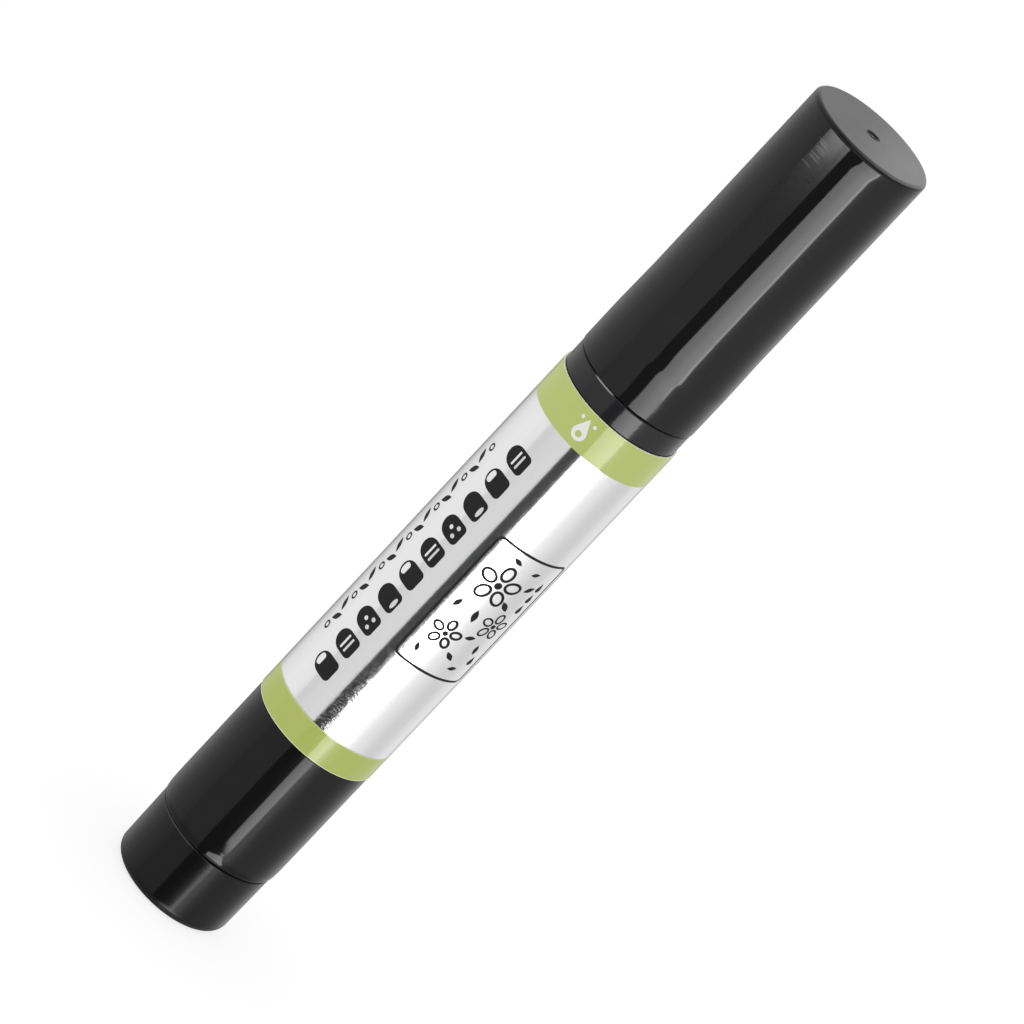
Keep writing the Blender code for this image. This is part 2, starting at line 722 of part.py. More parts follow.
def make_lead_screw():
    """The rod with two flats, a foot and the button head that snaps into the piston."""
    head_bottom = SCREW_HEAD_BOTTOM - SCREW_BOTTOM
    neck_bottom = head_bottom - SCREW_NECK_LENGTH
    head_top = head_bottom + SCREW_HEAD_HEIGHT
    head_middle = head_bottom + SCREW_HEAD_HEIGHT / 2
    outline = [
        (0, 0),
        (SCREW_RADIUS - SCREW_FOOT_CHAMFER, 0),
        (SCREW_RADIUS, SCREW_FOOT_CHAMFER),
        (SCREW_RADIUS, neck_bottom),
        (SCREW_NECK_RADIUS, neck_bottom),
        (SCREW_NECK_RADIUS, head_bottom),
        (SCREW_HEAD_RADIUS, head_bottom),
        (SCREW_HEAD_RADIUS, head_middle),
        (SCREW_NECK_RADIUS, head_top),
        (0, head_top),
    ]
    screw = turned("lead_screw", outline, FINE_FACETS, white_plastic())
    flats = spokes(
        "screw_flat_cutter",
        2,
        SCREW_FLAT_OFFSET,
        SCREW_RADIUS + OVERRUN,
        2 * SCREW_RADIUS,
        -OVERRUN,
        neck_bottom - SCREW_FOOT_CHAMFER,
    )
    flats.rotation_euler = (0, 0, math.pi / 2)
    combine(screw, flats, "DIFFERENCE")
    return screw


def make_piston():
    """The follower, with two wiping lips, a seal groove and the socket for the screw."""
    lip = CORE_RADIUS
    lip_inner = lip - PISTON_LIP_WALL
    valley = PISTON_LENGTH - PISTON_VALLEY_DEPTH
    crown_top = PISTON_LENGTH - PISTON_CROWN_DROP
    groove_middle = PISTON_LENGTH / 2
    groove_bottom = groove_middle - O_RING_GROOVE_HEIGHT / 2
    groove_top = groove_middle + O_RING_GROOVE_HEIGHT / 2
    socket_radius = SCREW_HEAD_RADIUS + RUNNING_GAP
    socket_mouth = SCREW_NECK_RADIUS + RUNNING_GAP
    socket_top = PISTON_SOCKET_LIP + SCREW_HEAD_HEIGHT + 2 * SEAT_GAP
    socket_wall = socket_radius + PISTON_SOCKET_WALL
    outline = [
        (0, socket_top),
        (socket_radius, socket_top),
        (socket_radius, PISTON_SOCKET_LIP),
        (socket_mouth, PISTON_SOCKET_LIP),
        (socket_mouth, 0),
        (socket_wall, 0),
        (socket_wall, PISTON_HOLLOW_DEPTH),
        (PISTON_HOLLOW_RADIUS, PISTON_HOLLOW_DEPTH),
        (PISTON_HOLLOW_RADIUS, 0),
        (lip, 0),
        (lip, PISTON_LIP_HEIGHT),
        (PISTON_WAIST_RADIUS, PISTON_LIP_HEIGHT + PISTON_LIP_SLOPE),
        (PISTON_WAIST_RADIUS, groove_bottom),
        (O_RING_GROOVE_RADIUS, groove_bottom),
        (O_RING_GROOVE_RADIUS, groove_top),
        (PISTON_WAIST_RADIUS, groove_top),
        (PISTON_WAIST_RADIUS, PISTON_LENGTH - PISTON_LIP_HEIGHT - PISTON_LIP_SLOPE),
        (lip, PISTON_LENGTH - PISTON_LIP_HEIGHT),
        (lip, PISTON_LENGTH),
        (lip_inner, PISTON_LENGTH),
        (lip_inner, valley),
        (PISTON_CROWN_RADIUS, valley),
        (PISTON_CROWN_RADIUS, crown_top),
        (0, crown_top),
    ]
    return turned("piston", outline, CORE_FACETS, natural_plastic())


def make_o_ring(name):
    """A round-section seal ring, modelled about its own mid height."""
    middle = O_RING_GROOVE_RADIUS + PRESS_GAP / 2 + O_RING_SECTION_RADIUS
    outline = []
    for side in range(O_RING_SIDES):
        angle = math.tau * side / O_RING_SIDES
        r = middle + O_RING_SECTION_RADIUS * math.cos(angle)
        outline.append((r, O_RING_SECTION_RADIUS * math.sin(angle)))
    return turned(name, outline, CORE_FACETS, rubber())


def make_mixing_ball(name):
    """One steel ball, modelled about its centre."""
    bm = bmesh.new()
    bmesh.ops.create_uvsphere(
        bm, u_segments=BALL_SECTORS, v_segments=BALL_BANDS, radius=BALL_RADIUS
    )
    return finish_mesh(name, bm, steel())


def make_reservoir_plug():
    """The plug over the paint, with room for the balls below and the pipe's seat above."""
    length = NOSE_FLANGE_TOP - NOSE_FLANGE_THICKNESS - SEAT_GAP - PLUG_BOTTOM
    groove_top = PLUG_DEPTH - PLUG_GROOVE_DROP
    groove_bottom = groove_top - O_RING_GROOVE_HEIGHT
    skirt_inner = CORE_RADIUS - PLUG_SKIRT_WALL
    pipe_seat = PIPE_RADIUS + PRESS_GAP
    outline = [
        (PLUG_INLET_RADIUS, 0),
        (PLUG_BOSS_RADIUS, 0),
        (PLUG_BOSS_RADIUS, PLUG_RECESS_DEPTH),
        (skirt_inner, PLUG_RECESS_DEPTH),
        (skirt_inner, 0),
        (CORE_RADIUS, 0),
        (CORE_RADIUS, groove_bottom),
        (O_RING_GROOVE_RADIUS, groove_bottom),
        (O_RING_GROOVE_RADIUS, groove_top),
        (CORE_RADIUS, groove_top),
        (CORE_RADIUS, PLUG_DEPTH),
        (PLUG_SPIGOT_RADIUS, PLUG_DEPTH),
        (PLUG_SPIGOT_RADIUS, length - PLUG_SPIGOT_CHAMFER),
        (PLUG_SPIGOT_RADIUS - PLUG_SPIGOT_CHAMFER, length),
        (pipe_seat, length),
        (pipe_seat, PLUG_INLET_LENGTH),
        (PLUG_INLET_RADIUS, PLUG_INLET_LENGTH),
    ]
    return turned("reservoir_plug", outline, CORE_FACETS, natural_plastic())


def make_feed_pipe():
    """The thin pipe from the paint chamber into the brush's root."""
    length = PIPE_TOP - PIPE_BOTTOM
    outline = [
        (PIPE_BORE_RADIUS, 0),
        (PIPE_RADIUS, 0),
        (PIPE_RADIUS, length),
        (PIPE_BORE_RADIUS, length),
    ]
    return turned("feed_pipe", outline, PIPE_FACETS, steel())


def make_front_collar():
    """The black band, with a skirt in the barrel and a beaded neck in the cap."""
    band_bottom = COLLAR_SKIRT_DEPTH + SEAT_GAP
    band_top = band_bottom + COLLAR_BAND_HEIGHT
    neck_top = band_top + COLLAR_NECK_HEIGHT
    bead_bottom = band_top + SNAP_BEAD_RISE
    bead_radius = COLLAR_NECK_RADIUS + SNAP_BEAD_DEPTH
    nose_bore = NOSE_LAND_RADIUS + PRESS_GAP
    shoulder = neck_top - COLLAR_TOP_THICKNESS
    outline = [
        (COLLAR_HOLLOW_RADIUS, 0),
        (CORE_RADIUS, 0),
        (CORE_RADIUS, band_bottom),
        (COLLAR_RADIUS - COLLAR_CHAMFER, band_bottom),
        (COLLAR_RADIUS, band_bottom + COLLAR_CHAMFER),
        (COLLAR_RADIUS, band_top - COLLAR_CHAMFER),
        (COLLAR_RADIUS - COLLAR_CHAMFER, band_top),
        (COLLAR_NECK_RADIUS, band_top),
        (COLLAR_NECK_RADIUS, bead_bottom),
        (bead_radius, bead_bottom + SNAP_BEAD_LENGTH / 2),
        (COLLAR_NECK_RADIUS, bead_bottom + SNAP_BEAD_LENGTH),
        (COLLAR_NECK_RADIUS, neck_top - COLLAR_TOP_CHAMFER),
        (COLLAR_NECK_RADIUS - COLLAR_TOP_CHAMFER, neck_top),
        (nose_bore, neck_top),
        (nose_bore, shoulder),
        (COLLAR_HOLLOW_RADIUS, shoulder),
    ]
    return turned("front_collar", outline, SHELL_FACETS, black_gloss())


def make_nose_cone():
    """The nozzle, clamped between the plug and the collar."""
    flange_top = NOSE_FLANGE_TOP - NOSE_BOTTOM
    flange_bottom = flange_top - NOSE_FLANGE_THICKNESS
    land_top = NOSE_LAND_TOP - NOSE_BOTTOM
    cone_bottom = NOSE_CONE_BOTTOM - NOSE_BOTTOM
    tip_top = NOSE_TOP - NOSE_BOTTOM
    tip_bottom = tip_top - NOSE_TIP_HEIGHT
    spigot_bore = PLUG_SPIGOT_RADIUS + NOSE_SPIGOT_CLEARANCE
    ferrule_bore = FERRULE_RADIUS + PRESS_GAP
    ferrule_seat = FERRULE_BOTTOM - SEAT_GAP - NOSE_BOTTOM
    seat_lip = FERRULE_RADIUS - FERRULE_WALL
    outline = [
        (spigot_bore, 0),
        (NOSE_SKIRT_RADIUS, 0),
        (NOSE_SKIRT_RADIUS, flange_bottom),
        (COLLAR_HOLLOW_RADIUS - SEAT_GAP, flange_bottom),
        (COLLAR_HOLLOW_RADIUS - SEAT_GAP, flange_top),
        (NOSE_LAND_RADIUS, flange_top),
        (NOSE_LAND_RADIUS, land_top),
        (NOSE_CONE_BASE_RADIUS, cone_bottom),
        (NOSE_TIP_RADIUS, tip_bottom),
        (NOSE_TIP_RADIUS - NOSE_TIP_HEIGHT / 2, tip_top),
        (ferrule_bore, tip_top),
        (ferrule_bore, ferrule_seat),
        (seat_lip, ferrule_seat),
        (NOSE_CHAMBER_RADIUS, ferrule_seat - (NOSE_CHAMBER_RADIUS - seat_lip)),
        (NOSE_CHAMBER_RADIUS, flange_bottom),
        (spigot_bore, flange_bottom),
    ]
    return turned("nose_cone", outline, CORE_FACETS, white_plastic())


def make_brush_ferrule():
    """The small tube that grips the tuft in the nose."""
    inner = FERRULE_RADIUS - FERRULE_WALL
    outline = [
        (inner, 0),
        (FERRULE_RADIUS, 0),
        (FERRULE_RADIUS, FERRULE_LENGTH),
        (inner, FERRULE_LENGTH),
    ]
    return turned("brush_ferrule", outline, FINE_FACETS, steel())


def make_brush_tuft():
    """The pointed tuft, hollow at its root where the feed pipe ends."""
    root_radius = FERRULE_RADIUS - FERRULE_WALL - PRESS_GAP
    root_bore = PIPE_RADIUS + PRESS_GAP
    root_length = FERRULE_TOP - TUFT_BOTTOM
    bore_top = PIPE_IN_BRUSH + SEAT_GAP
    belly = root_length + TUFT_BELLY_SHARE * TUFT_LENGTH
    tip = root_length + TUFT_LENGTH
    outline = [(0, bore_top), (root_bore, bore_top), (root_bore, 0), (root_radius, 0)]
    outline += [(root_radius, root_length), (TUFT_BELLY_RADIUS, belly)]
    for step in range(1, TUFT_TAPER_STEPS + 1):
        share = step / TUFT_TAPER_STEPS
        swell = math.cos(share * math.pi / 2)
        r = TUFT_TIP_RADIUS + (TUFT_BELLY_RADIUS - TUFT_TIP_RADIUS) * swell
        outline.append((r, belly + share * (tip - belly)))
    outline.append((0, tip))
    return turned("brush_tuft", outline, FINE_FACETS, bristle())


def make_cap_shell():
    """The outer cap, slightly flared at its rim, ribbed inside to hold the liner."""
    inner_top = CAP_LENGTH - CAP_TOP_THICKNESS
    bead_bottom = SNAP_BEAD_RISE - CAP_TO_COLLAR_GAP
    groove_radius = CAP_SOCKET_RADIUS + SNAP_BEAD_DEPTH
    fillet_centre = CAP_BODY_RADIUS - CAP_TOP_ROUNDING
    outline = [
        (0, inner_top),
        (CAP_BORE_RADIUS, inner_top),
        (CAP_BORE_RADIUS, CAP_SOCKET_HEIGHT),
        (CAP_SOCKET_RADIUS, CAP_SOCKET_HEIGHT),
        (CAP_SOCKET_RADIUS, bead_bottom + SNAP_BEAD_LENGTH),
        (groove_radius, bead_bottom + SNAP_BEAD_LENGTH / 2),
        (CAP_SOCKET_RADIUS, bead_bottom),
        (CAP_SOCKET_RADIUS, CAP_RIM_CHAMFER),
        (CAP_SOCKET_RADIUS + CAP_RIM_CHAMFER, 0),
        (CAP_RIM_RADIUS - CAP_RIM_CHAMFER, 0),
        (CAP_RIM_RADIUS, CAP_RIM_CHAMFER),
        (CAP_RIM_RADIUS, CAP_FLARE_HEIGHT / 2),
        (CAP_BODY_RADIUS, CAP_FLARE_HEIGHT),
    ]
    outline += rounding(
        fillet_centre, CAP_LENGTH - CAP_TOP_ROUNDING, CAP_TOP_ROUNDING, CAP_TOP_ROUNDING, 0, 90
    )
    outline += [
        (CAP_GATE_RADIUS, CAP_LENGTH),
        (CAP_GATE_RADIUS / 2, CAP_LENGTH - CAP_GATE_DEPTH),
        (0, CAP_LENGTH - CAP_GATE_DEPTH),
    ]
    cap = turned("cap_shell", outline, SHELL_FACETS, black_gloss())
    ribs = spokes(
        "cap_ribs",
        CAP_RIB_COUNT,
        LINER_RADIUS + PRESS_GAP,
        CAP_BORE_RADIUS + OVERRUN,
        CAP_RIB_WIDTH,
        CAP_RIB_START,
        inner_top + OVERRUN,
    )
    combine(cap, ribs, "UNION")
    return cap


def make_cap_liner():
    """The inner cap, whose mouth closes on the nose's land."""
    length = LINER_TOP - LINER_BOTTOM
    inner = LINER_RADIUS - LINER_WALL
    seal = NOSE_LAND_RADIUS + LINER_SEAL_GAP
    outline = [
        (0, length - LINER_TOP_THICKNESS),
        (inner, length - LINER_TOP_THICKNESS),
        (inner, LINER_SEAL_HEIGHT),
        (seal, LINER_SEAL_HEIGHT / 2),
        (seal, 0),
        (LINER_RADIUS, 0),
        (LINER_RADIUS, length - LINER_TOP_THICKNESS / 2),
        (LINER_RADIUS - LINER_TOP_THICKNESS / 2, length),
        (0, length),
    ]
    return turned("cap_liner", outline, CORE_FACETS, natural_plastic())


def build_pen():
    """Make every piece and set it on the axis, under the joint that carries it."""
    barrel = joint_empty("barrel_axis", BARREL_BOTTOM)
    cap = joint_empty("cap_slide_axis", CAP_BOTTOM)
    knob = joint_empty("knob_axis", 0)
    spindle = joint_empty("spindle_axis", SCREW_BOTTOM)
    piston = joint_empty("piston_axis", PISTON_BOTTOM)

    place(make_barrel_tube(), BARREL_BOTTOM, barrel)
    place(make_label_sleeve(), LABEL_BOTTOM, barrel)
    place(make_retainer_bush(), RETAINER_BOTTOM, barrel)
    place(make_ratchet_ring(), RATCHET_BOTTOM, barrel)
    place(make_guide_nut(), NUT_BOTTOM, barrel)
    place(make_reservoir_plug(), PLUG_BOTTOM, barrel)
    plug_groove = PLUG_TOP - PLUG_GROOVE_DROP - O_RING_GROOVE_HEIGHT / 2
    place(make_o_ring("plug_o_ring"), plug_groove, barrel)
    place(make_feed_pipe(), PIPE_BOTTOM, barrel)
    place(make_front_collar(), BARREL_TOP - COLLAR_SKIRT_DEPTH, barrel)
    place(make_nose_cone(), NOSE_BOTTOM, barrel)
    place(make_brush_ferrule(), FERRULE_BOTTOM, barrel)
    place(make_brush_tuft(), TUFT_BOTTOM, barrel)

    place(make_cap_shell(), CAP_BOTTOM, cap)
    place(make_cap_liner(), LINER_BOTTOM, cap)

    place(make_twist_knob(), 0, knob)
    place(make_drive_sleeve(), STEM_BOTTOM, knob)

    place(make_lead_screw(), SCREW_BOTTOM, spindle)

    place(make_piston(), PISTON_BOTTOM, piston)
    place(make_o_ring("piston_o_ring"), PISTON_BOTTOM + PISTON_LENGTH / 2, piston)
    valley_middle = (PISTON_CROWN_RADIUS + CORE_RADIUS - PISTON_LIP_WALL) / 2
    ball_rest = PISTON_BOTTOM + PISTON_LENGTH - PISTON_VALLEY_DEPTH + SEAT_GAP + BALL_RADIUS
    for index, side in enumerate((1, -1)):
        ball = make_mixing_ball(f"mixing_ball_{index + 1}")
        place(ball, ball_rest, piston)
        ball.location.x = side * valley_middle


clear_scene()
build_pen()
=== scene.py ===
"""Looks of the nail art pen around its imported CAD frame.

Each shell that shows is turned again with fine fillets and smooth curves, at the CAD's own
sizes, and replaces its faceted node. The pieces sealed inside keep their CAD solids.
Outlines and print are written in millimetres, as (radius, height) or (arc, height).
"""

import random
from math import atan2, cos, floor, hypot, pi, radians, sin, sqrt, tau

import bmesh
import bpy
from mathutils import Matrix, Vector


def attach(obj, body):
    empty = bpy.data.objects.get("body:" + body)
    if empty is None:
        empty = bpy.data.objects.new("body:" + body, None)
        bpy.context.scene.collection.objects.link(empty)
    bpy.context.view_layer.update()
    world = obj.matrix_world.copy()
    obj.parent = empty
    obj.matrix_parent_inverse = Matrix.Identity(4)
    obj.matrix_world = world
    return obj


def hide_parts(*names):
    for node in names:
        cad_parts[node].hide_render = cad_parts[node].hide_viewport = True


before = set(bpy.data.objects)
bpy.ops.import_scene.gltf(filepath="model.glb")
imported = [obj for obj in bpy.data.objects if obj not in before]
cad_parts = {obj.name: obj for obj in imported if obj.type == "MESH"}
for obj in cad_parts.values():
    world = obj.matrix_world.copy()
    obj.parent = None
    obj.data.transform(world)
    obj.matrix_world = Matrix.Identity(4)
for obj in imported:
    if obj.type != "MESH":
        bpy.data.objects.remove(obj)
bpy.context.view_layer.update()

MM = 0.001

# Turned shells
SHELL_SEGMENTS = 192
SMALL_SEGMENTS = 96
SUPPORT_OFFSET = 0.03
LONGEST_STEP = 2.0
SHARP_ANGLE = radians(40)
OVERCUT = 0.6
RIB_COUNT = 6

# Knob
KNOB_TOP = 9.4
KNOB_RADIUS_LOW = 8.1
KNOB_RADIUS_HIGH = 8.2
KNOB_FILLET = 1.3
KNOB_RIM_FILLET = 0.15
KNOB_WALL_INNER = 6.9
KNOB_FLOOR = 1.8
KNOB_SOCKET_RADIUS = 4.9
KNOB_SOCKET_TOP = 8.8
KNOB_HEX_RADIUS = 3.98
KNOB_RIB_TOP = 7.0
KNOB_RIB_WIDTH = 0.8

# Barrel
BARREL_BOTTOM = 9.6
BARREL_TOP = 83.3
BARREL_RADIUS = 8.43
BORE_RADIUS = 7.2
LIP_CENTRE = (8.2224, 11.5)
LIP_RADII = (0.19, 1.9)
LIP_ARC_END = -9.1
LIP_BLEND = (11.2, 13.4)
LIP_BLEND_CURVE = 0.00364
RECESS_BOTTOM = 27.84
RECESS_RADIUS = 8.28
SHOULDER_BOTTOM = 39.0
SHOULDER_TOP = 40.2
SHOULDER_RADIUS = 6.5
BUSH_GROOVE = (10.6, 11.0, 11.4)
BUSH_GROOVE_RADIUS = 7.4
SLOT_TOP = 20.0
SLOT_INNER = 6.4
SLOT_RADIUS = 7.6
SLOT_WIDTH = 1.56

# Label and its print
LABEL_BOTTOM = 27.94
LABEL_TOP = 83.24
LABEL_RADIUS = 8.512
LABEL_INNER_RADIUS = 8.36
LABEL_HEM_RADIUS = 8.305
LABEL_EDGE = 0.03
LOW_BAND_TOP = 31.8
HIGH_BAND_BOTTOM = 78.36
INK_RADIUS = 8.518
PRINT_FACET = 0.3
FRAME_TURNS = (0.9, 76.5)
FRAME_HEIGHTS = (45.15, 64.95)
FRAME_CORNER = 0.95
FRAME_LINE = 0.34
NAIL_HEIGHTS = (37.6, 72.4, 10)
NAIL_TURNS = (-42.2, -19.6)
NAIL_WIDTH = 2.85
CHAIN_HEIGHTS = (40.2, 70.2, 19)
CHAIN_TURN = -60.5
MARK_TURN = -8.5
FLOWER_PETALS = 5
FLOWERS = [(4.2, 59.5, 1.14, 0.36), (8.0, 54.4, 0.8, 0.26), (3.4, 50.9, 0.82, 0.34)]
LEAVES = [
    (7.0, 57.5, 1.8, -40), (8.2, 60.7, 1.6, 35), (4.7, 54.7, 1.9, 100), (1.9, 55.0, 1.6, 70),
    (6.4, 51.9, 1.5, 20), (6.0, 48.6, 1.6, -35), (2.0, 47.5, 1.4, -70), (8.6, 50.6, 1.6, -80),
    (7.7, 47.2, 1.4, 15), (4.0, 63.4, 1.4, 160), (7.2, 62.9, 1.3, 20),
]
DROPS = [(9.6, 57.4), (9.6, 59.2), (9.6, 61.0), (9.6, 48.6)]
OVERLAP_TURNS = (174.0, 187.0, 15)

# Collar
COLLAR_RADIUS = 8.27
COLLAR_SKIRT_BOTTOM = 81.1
COLLAR_BAND_BOTTOM = 83.34
COLLAR_BAND_TOP = 86.3
COLLAR_NECK_RADIUS = 6.95
COLLAR_NECK_TOP = 93.6
COLLAR_HOLLOW_RADIUS = 6.1
COLLAR_SHOULDER = 89.7
CORE_RADIUS = 7.12
NOSE_BORE_RADIUS = 4.88
SNAP_BEAD = (89.7, 90.15, 90.6)
SNAP_BEAD_RADIUS = 7.1

# Cap
CAP_BOTTOM = 86.44
CAP_TOP = 127.0
CAP_RIM_RADIUS = 8.37
CAP_BODY_RADIUS = 8.25
CAP_FLARE = (92.44, 98.44)
CAP_TOP_FILLET = 0.6
CAP_EDGE = 0.12
CAP_SOCKET_RADIUS = 7.18
CAP_SOCKET_TOP = 96.04
CAP_BORE_RADIUS = 7.03
CAP_INNER_TOP = 125.4
CAP_GROOVE_RADIUS = 7.33
CAP_RIB_BOTTOM = 96.94
CAP_RIB_INNER = 6.28
CAP_RIB_WIDTH = 0.7
CAP_KINK = [
    (88.3, 0.02), (90.0, 0.026), (91.6, 0.033), (92.1, 0.026), (92.5, 0.005), (93.1, 0.006),
    (95.0, 0.02), (96.0, 0.02),
]
CAP_KINK_TOP = 0.05
GATE_RADIUS = 0.9
GATE_DEPTH = 0.3
GATE_NUB_RADIUS = 0.28

# Fixed outlines
LINER_OUTLINE = [
    (0, 124.3), (5.0, 124.3), (5.3, 124.0), (5.3, 95.4), (4.9, 94.7), (4.9, 94.1), (5.0, 94.0),
    (6.1, 94.0), (6.2, 94.1), (6.2, 124.8), (5.7, 125.3), (0, 125.3),
]
NOSE_FOOT = [(3.4, 81.1), (4.5, 81.1), (4.5, 88.1), (6.0, 88.1), (6.0, 89.6), (4.8, 89.6)]
NOSE_WAIST = (4.2, 96.5)
NOSE_BORE = [(1.78, 108.18), (1.78, 98.1), (1.45, 98.1), (2.4, 97.15), (2.4, 88.1), (3.4, 88.1)]
FERRULE_OUTLINE = [
    (1.45, 98.2), (1.7, 98.2), (1.7, 104.6), (1.64, 104.9), (1.7, 105.2), (1.7, 108.2),
    (1.6, 108.3), (1.45, 108.3),
]

# Brush
TUFT_FOOT = 99.0
TUFT_HOLLOW = (0.8, 101.8)
TUFT_ROOT = 108.3
TUFT_TIP = 116.7
TUFT_ROOT_RADIUS = 1.37
TUFT_BELLY_RADIUS = 1.5
TUFT_STRANDS = 420
GOLDEN_ANGLE = 2.399963
STRAND_SIDES = 4
STRAND_POINTS = 9
STRAND_RADIUS = 0.055

# Studio seen in reflections: the long light's edges and shares by elevation, levels by azimuth
STRIP_LEFT = [
    (-28.1, 26.5), (-27.4, 28.5), (-26.75, 31.0), (-26.4, 31.0), (-26.1, 28.5), (-25.7, 26),
    (-25.1, 21.5), (-24.7, 19.4), (-23.7, 18.6), (-23.4, 20.4), (-23.25, 20.0), (-22.6, 18.4),
    (-22.0, 13.4), (-20.0, 10.4), (-19.4, 10.4), (-19.2, 9.6), (-19.05, 8.7), (-18.985, 8.9),
    (-18.95, 10.4), (-16.0, 10.0),
]
STRIP_RIGHT = [
    (-28.1, 34), (-27.4, 32.5), (-26.75, 32.6), (-26.4, 32.8), (-26.2, 34.0), (-25.9, 35.4),
    (-24.7, 35.8), (-23.7, 35.8), (-23.5, 38), (-23.2, 41), (-22.0, 45), (-19.74, 46),
    (-19.65, 50), (-19.45, 49.6), (-19.4, 46.5), (-19.3, 45), (-19.2, 42.8), (-19.05, 40.4),
    (-18.985, 40), (-18.95, 46.4), (-16.0, 46.4),
]
STRIP_SHARES = [
    (-28.1, 1.3), (-27.4, 1.1), (-26.9, 0.3), (-26.3, 0.3), (-25.9, 1.1), (-25.1, 1.2),
    (-23.7, 1.25), (-23.5, 1.0), (-20.0, 1.0), (-19.7, 0.92), (-19.0, 0.92), (-18.7, 1.0),
    (-16.0, 1.0),
]
STRIP_LEVELS = [(0, 5.0), (10, 5.1), (22, 6.2), (30, 7.6), (38, 8.5), (44, 8.6), (50, 8.0)]
PANEL_LEVELS = [
    (-180, 0.22), (-168, 0.27), (-156, 0.47), (-144, 0.68), (-132, 0.79), (-120, 0.85), (-100, 0.9),
    (-80, 0.9), (-66, 0.86), (-61.8, 0.84), (-60.2, 0.71), (-52, 0.7), (-40, 0.74), (-24, 0.76),
    (0, 0.76),
]
RIGHT_LEVELS = [
    (0, 2.8), (42, 2.8), (48, 1.8), (56, 1.12), (66, 0.93), (80, 0.82), (96, 0.7), (112, 0.7),
    (128, 0.8), (144, 0.86), (156, 0.76), (168, 0.46), (180, 0.22),
]
SKY_LEVELS = [(0, 0.75), (60, 0.6), (110, 0.7), (150, 1.0), (180, 1.15)]

# How far the long light's edges lean out below their lists: a degree, and at most
LEAN_LEFT = (4.2, 17.5)
LEAN_RIGHT = (1.3, 10.0)

# Fades of the studio's parts, in degrees of azimuth or elevation
GAP_START = (-11.3, -10.1)
STRIP_START = (-0.6, 0.6)
STRIP_END = (-0.9, 0.5)
STRIP_FOOT = (-46.0, -36.0)
STRIP_HEAD = (-15.2, -12.5)
GLINT_START = (-5.0, -3.6)
GLINT_FOOT = (-18.99, -18.95)
FRAY_HEIGHTS = ((-23.75, -23.65), (-22.6, -21.8))
FRAY_REACH = (-17.0, 1.0)
GROUND_TOP = (-34.0, -27.5)
SKY_FOOT = (-8.0, 6.0)
DIM_SIDES = ((-75.0, -58.0), (46.0, 70.0))
DIM_HEIGHTS = ((34.0, 42.0), (56.0, 64.0))

# Floor
FLOOR_HALF = 6.0
FLOOR_GLOW = 1.12
FLOOR_GLOW_SHARE = 0.7

# A far card below the floor's level that only reflections see, as (angle, height) edges
CARD_RADIUS = 1000.0
CARD_EDGE = [
    (-58.4, -169.3), (-53, -168.7), (-48, -169.1), (-42, -168.6), (-37, -168.7), (-33, -167.9),
    (-26, -167.8), (-19, -167.2), (-11.2, -167.5),
]
CARD_TOP = -152.6
CARD_COLUMNS = 97
CARD_LEVELS = [(-60, 4.5), (-52, 8.0), (-40, 11.5), (-28, 12.5), (-20, 12.0), (-11, 9.5)]

WHITE = (1.0, 1.0, 1.0)

# Camera, from the fit of the photograph
CAMERA_LENS = 223.24
CAMERA_SENSOR = 36.0
CAMERA_ELEVATION = radians(20.84)
CAMERA_ROLL = radians(43.2)
CAMERA_DEPTH = 0.7332
AIM_HEIGHT = 0.0659
FRAME_PIXELS = 1024
AIM_PIXEL = (524.09, 507.35)


# ---- meshes


def add_object(name, mesh):
    """Link a mesh to the scene as an object."""
    obj = bpy.data.objects.new(name, mesh)
    bpy.context.scene.collection.objects.link(obj)
    return obj


def smoothed(mesh):
    """Shade a mesh smooth, with its sharp edges kept."""
    mesh.shade_smooth()
    mesh.set_sharp_from_angle(angle=SHARP_ANGLE)
    return mesh


def evaluated(obj):
    """Return the shape that an object shows, as a new mesh."""
    depsgraph = bpy.context.evaluated_depsgraph_get()
    return bpy.data.meshes.new_from_object(obj.evaluated_get(depsgraph))


def bm_object(name, bm, smooth=True):
    """Turn a bmesh into an object with outward faces."""
    bmesh.ops.recalc_face_normals(bm, faces=bm.faces)
    mesh = bpy.data.meshes.new(name)
    bm.to_mesh(mesh)
    bm.free()
    return add_object(name, smoothed(mesh) if smooth else mesh)


def spread(first, last, count):
    """Return evenly spaced values from first to last."""
    return [first + (last - first) * k / (count - 1) for k in range(count)]


def turns(count):
    """Return the angles that share a full turn evenly."""
    return [tau * k / count for k in range(count)]


def arc(centre_r, centre_z, radius_r, radius_z, start, end, steps):
    """Return outline points on an elliptic arc, angles in degrees."""
    angles = [radians(degrees) for degrees in spread(start, end, steps + 1)]
    return [(centre_r + radius_r * cos(a), centre_z + radius_z * sin(a)) for a in angles]


def rounded(r, z, fillet, steps, top=True):
    """Return the rounded outer corner of an outline, at its top or its foot."""
    start, side = (0, -1) if top else (-90, 1)
    return arc(r - fillet, z + side * fillet, fillet, fillet, start, start + 90, steps)


def on_cylinder(radius, angle, height):
    """Return a point in metres, its angle counted from -Y towards +X."""
    return radius * MM * sin(angle), -radius * MM * cos(angle), height * MM


def supported(outline, closed):
    """Add points near the ends of long straight runs, so that shading stays crisp there."""
    ends = outline[1:] + outline[:1] if closed else outline[1:]
    result = []
    for (r0, z0), (r1, z1) in zip(outline, ends):
        result.append((r0, z0))
        length = hypot(r1 - r0, z1 - z0)
        if length < 4 * SUPPORT_OFFSET:
            continue
        margin = SUPPORT_OFFSET / length
        steps = int(length // LONGEST_STEP) + 1
        for share in (margin, *spread(0, 1, steps + 1)[1:-1], 1 - margin):
            result.append((r0 + share * (r1 - r0), z0 + share * (z1 - z0)))
    return result if closed else result + outline[-1:]


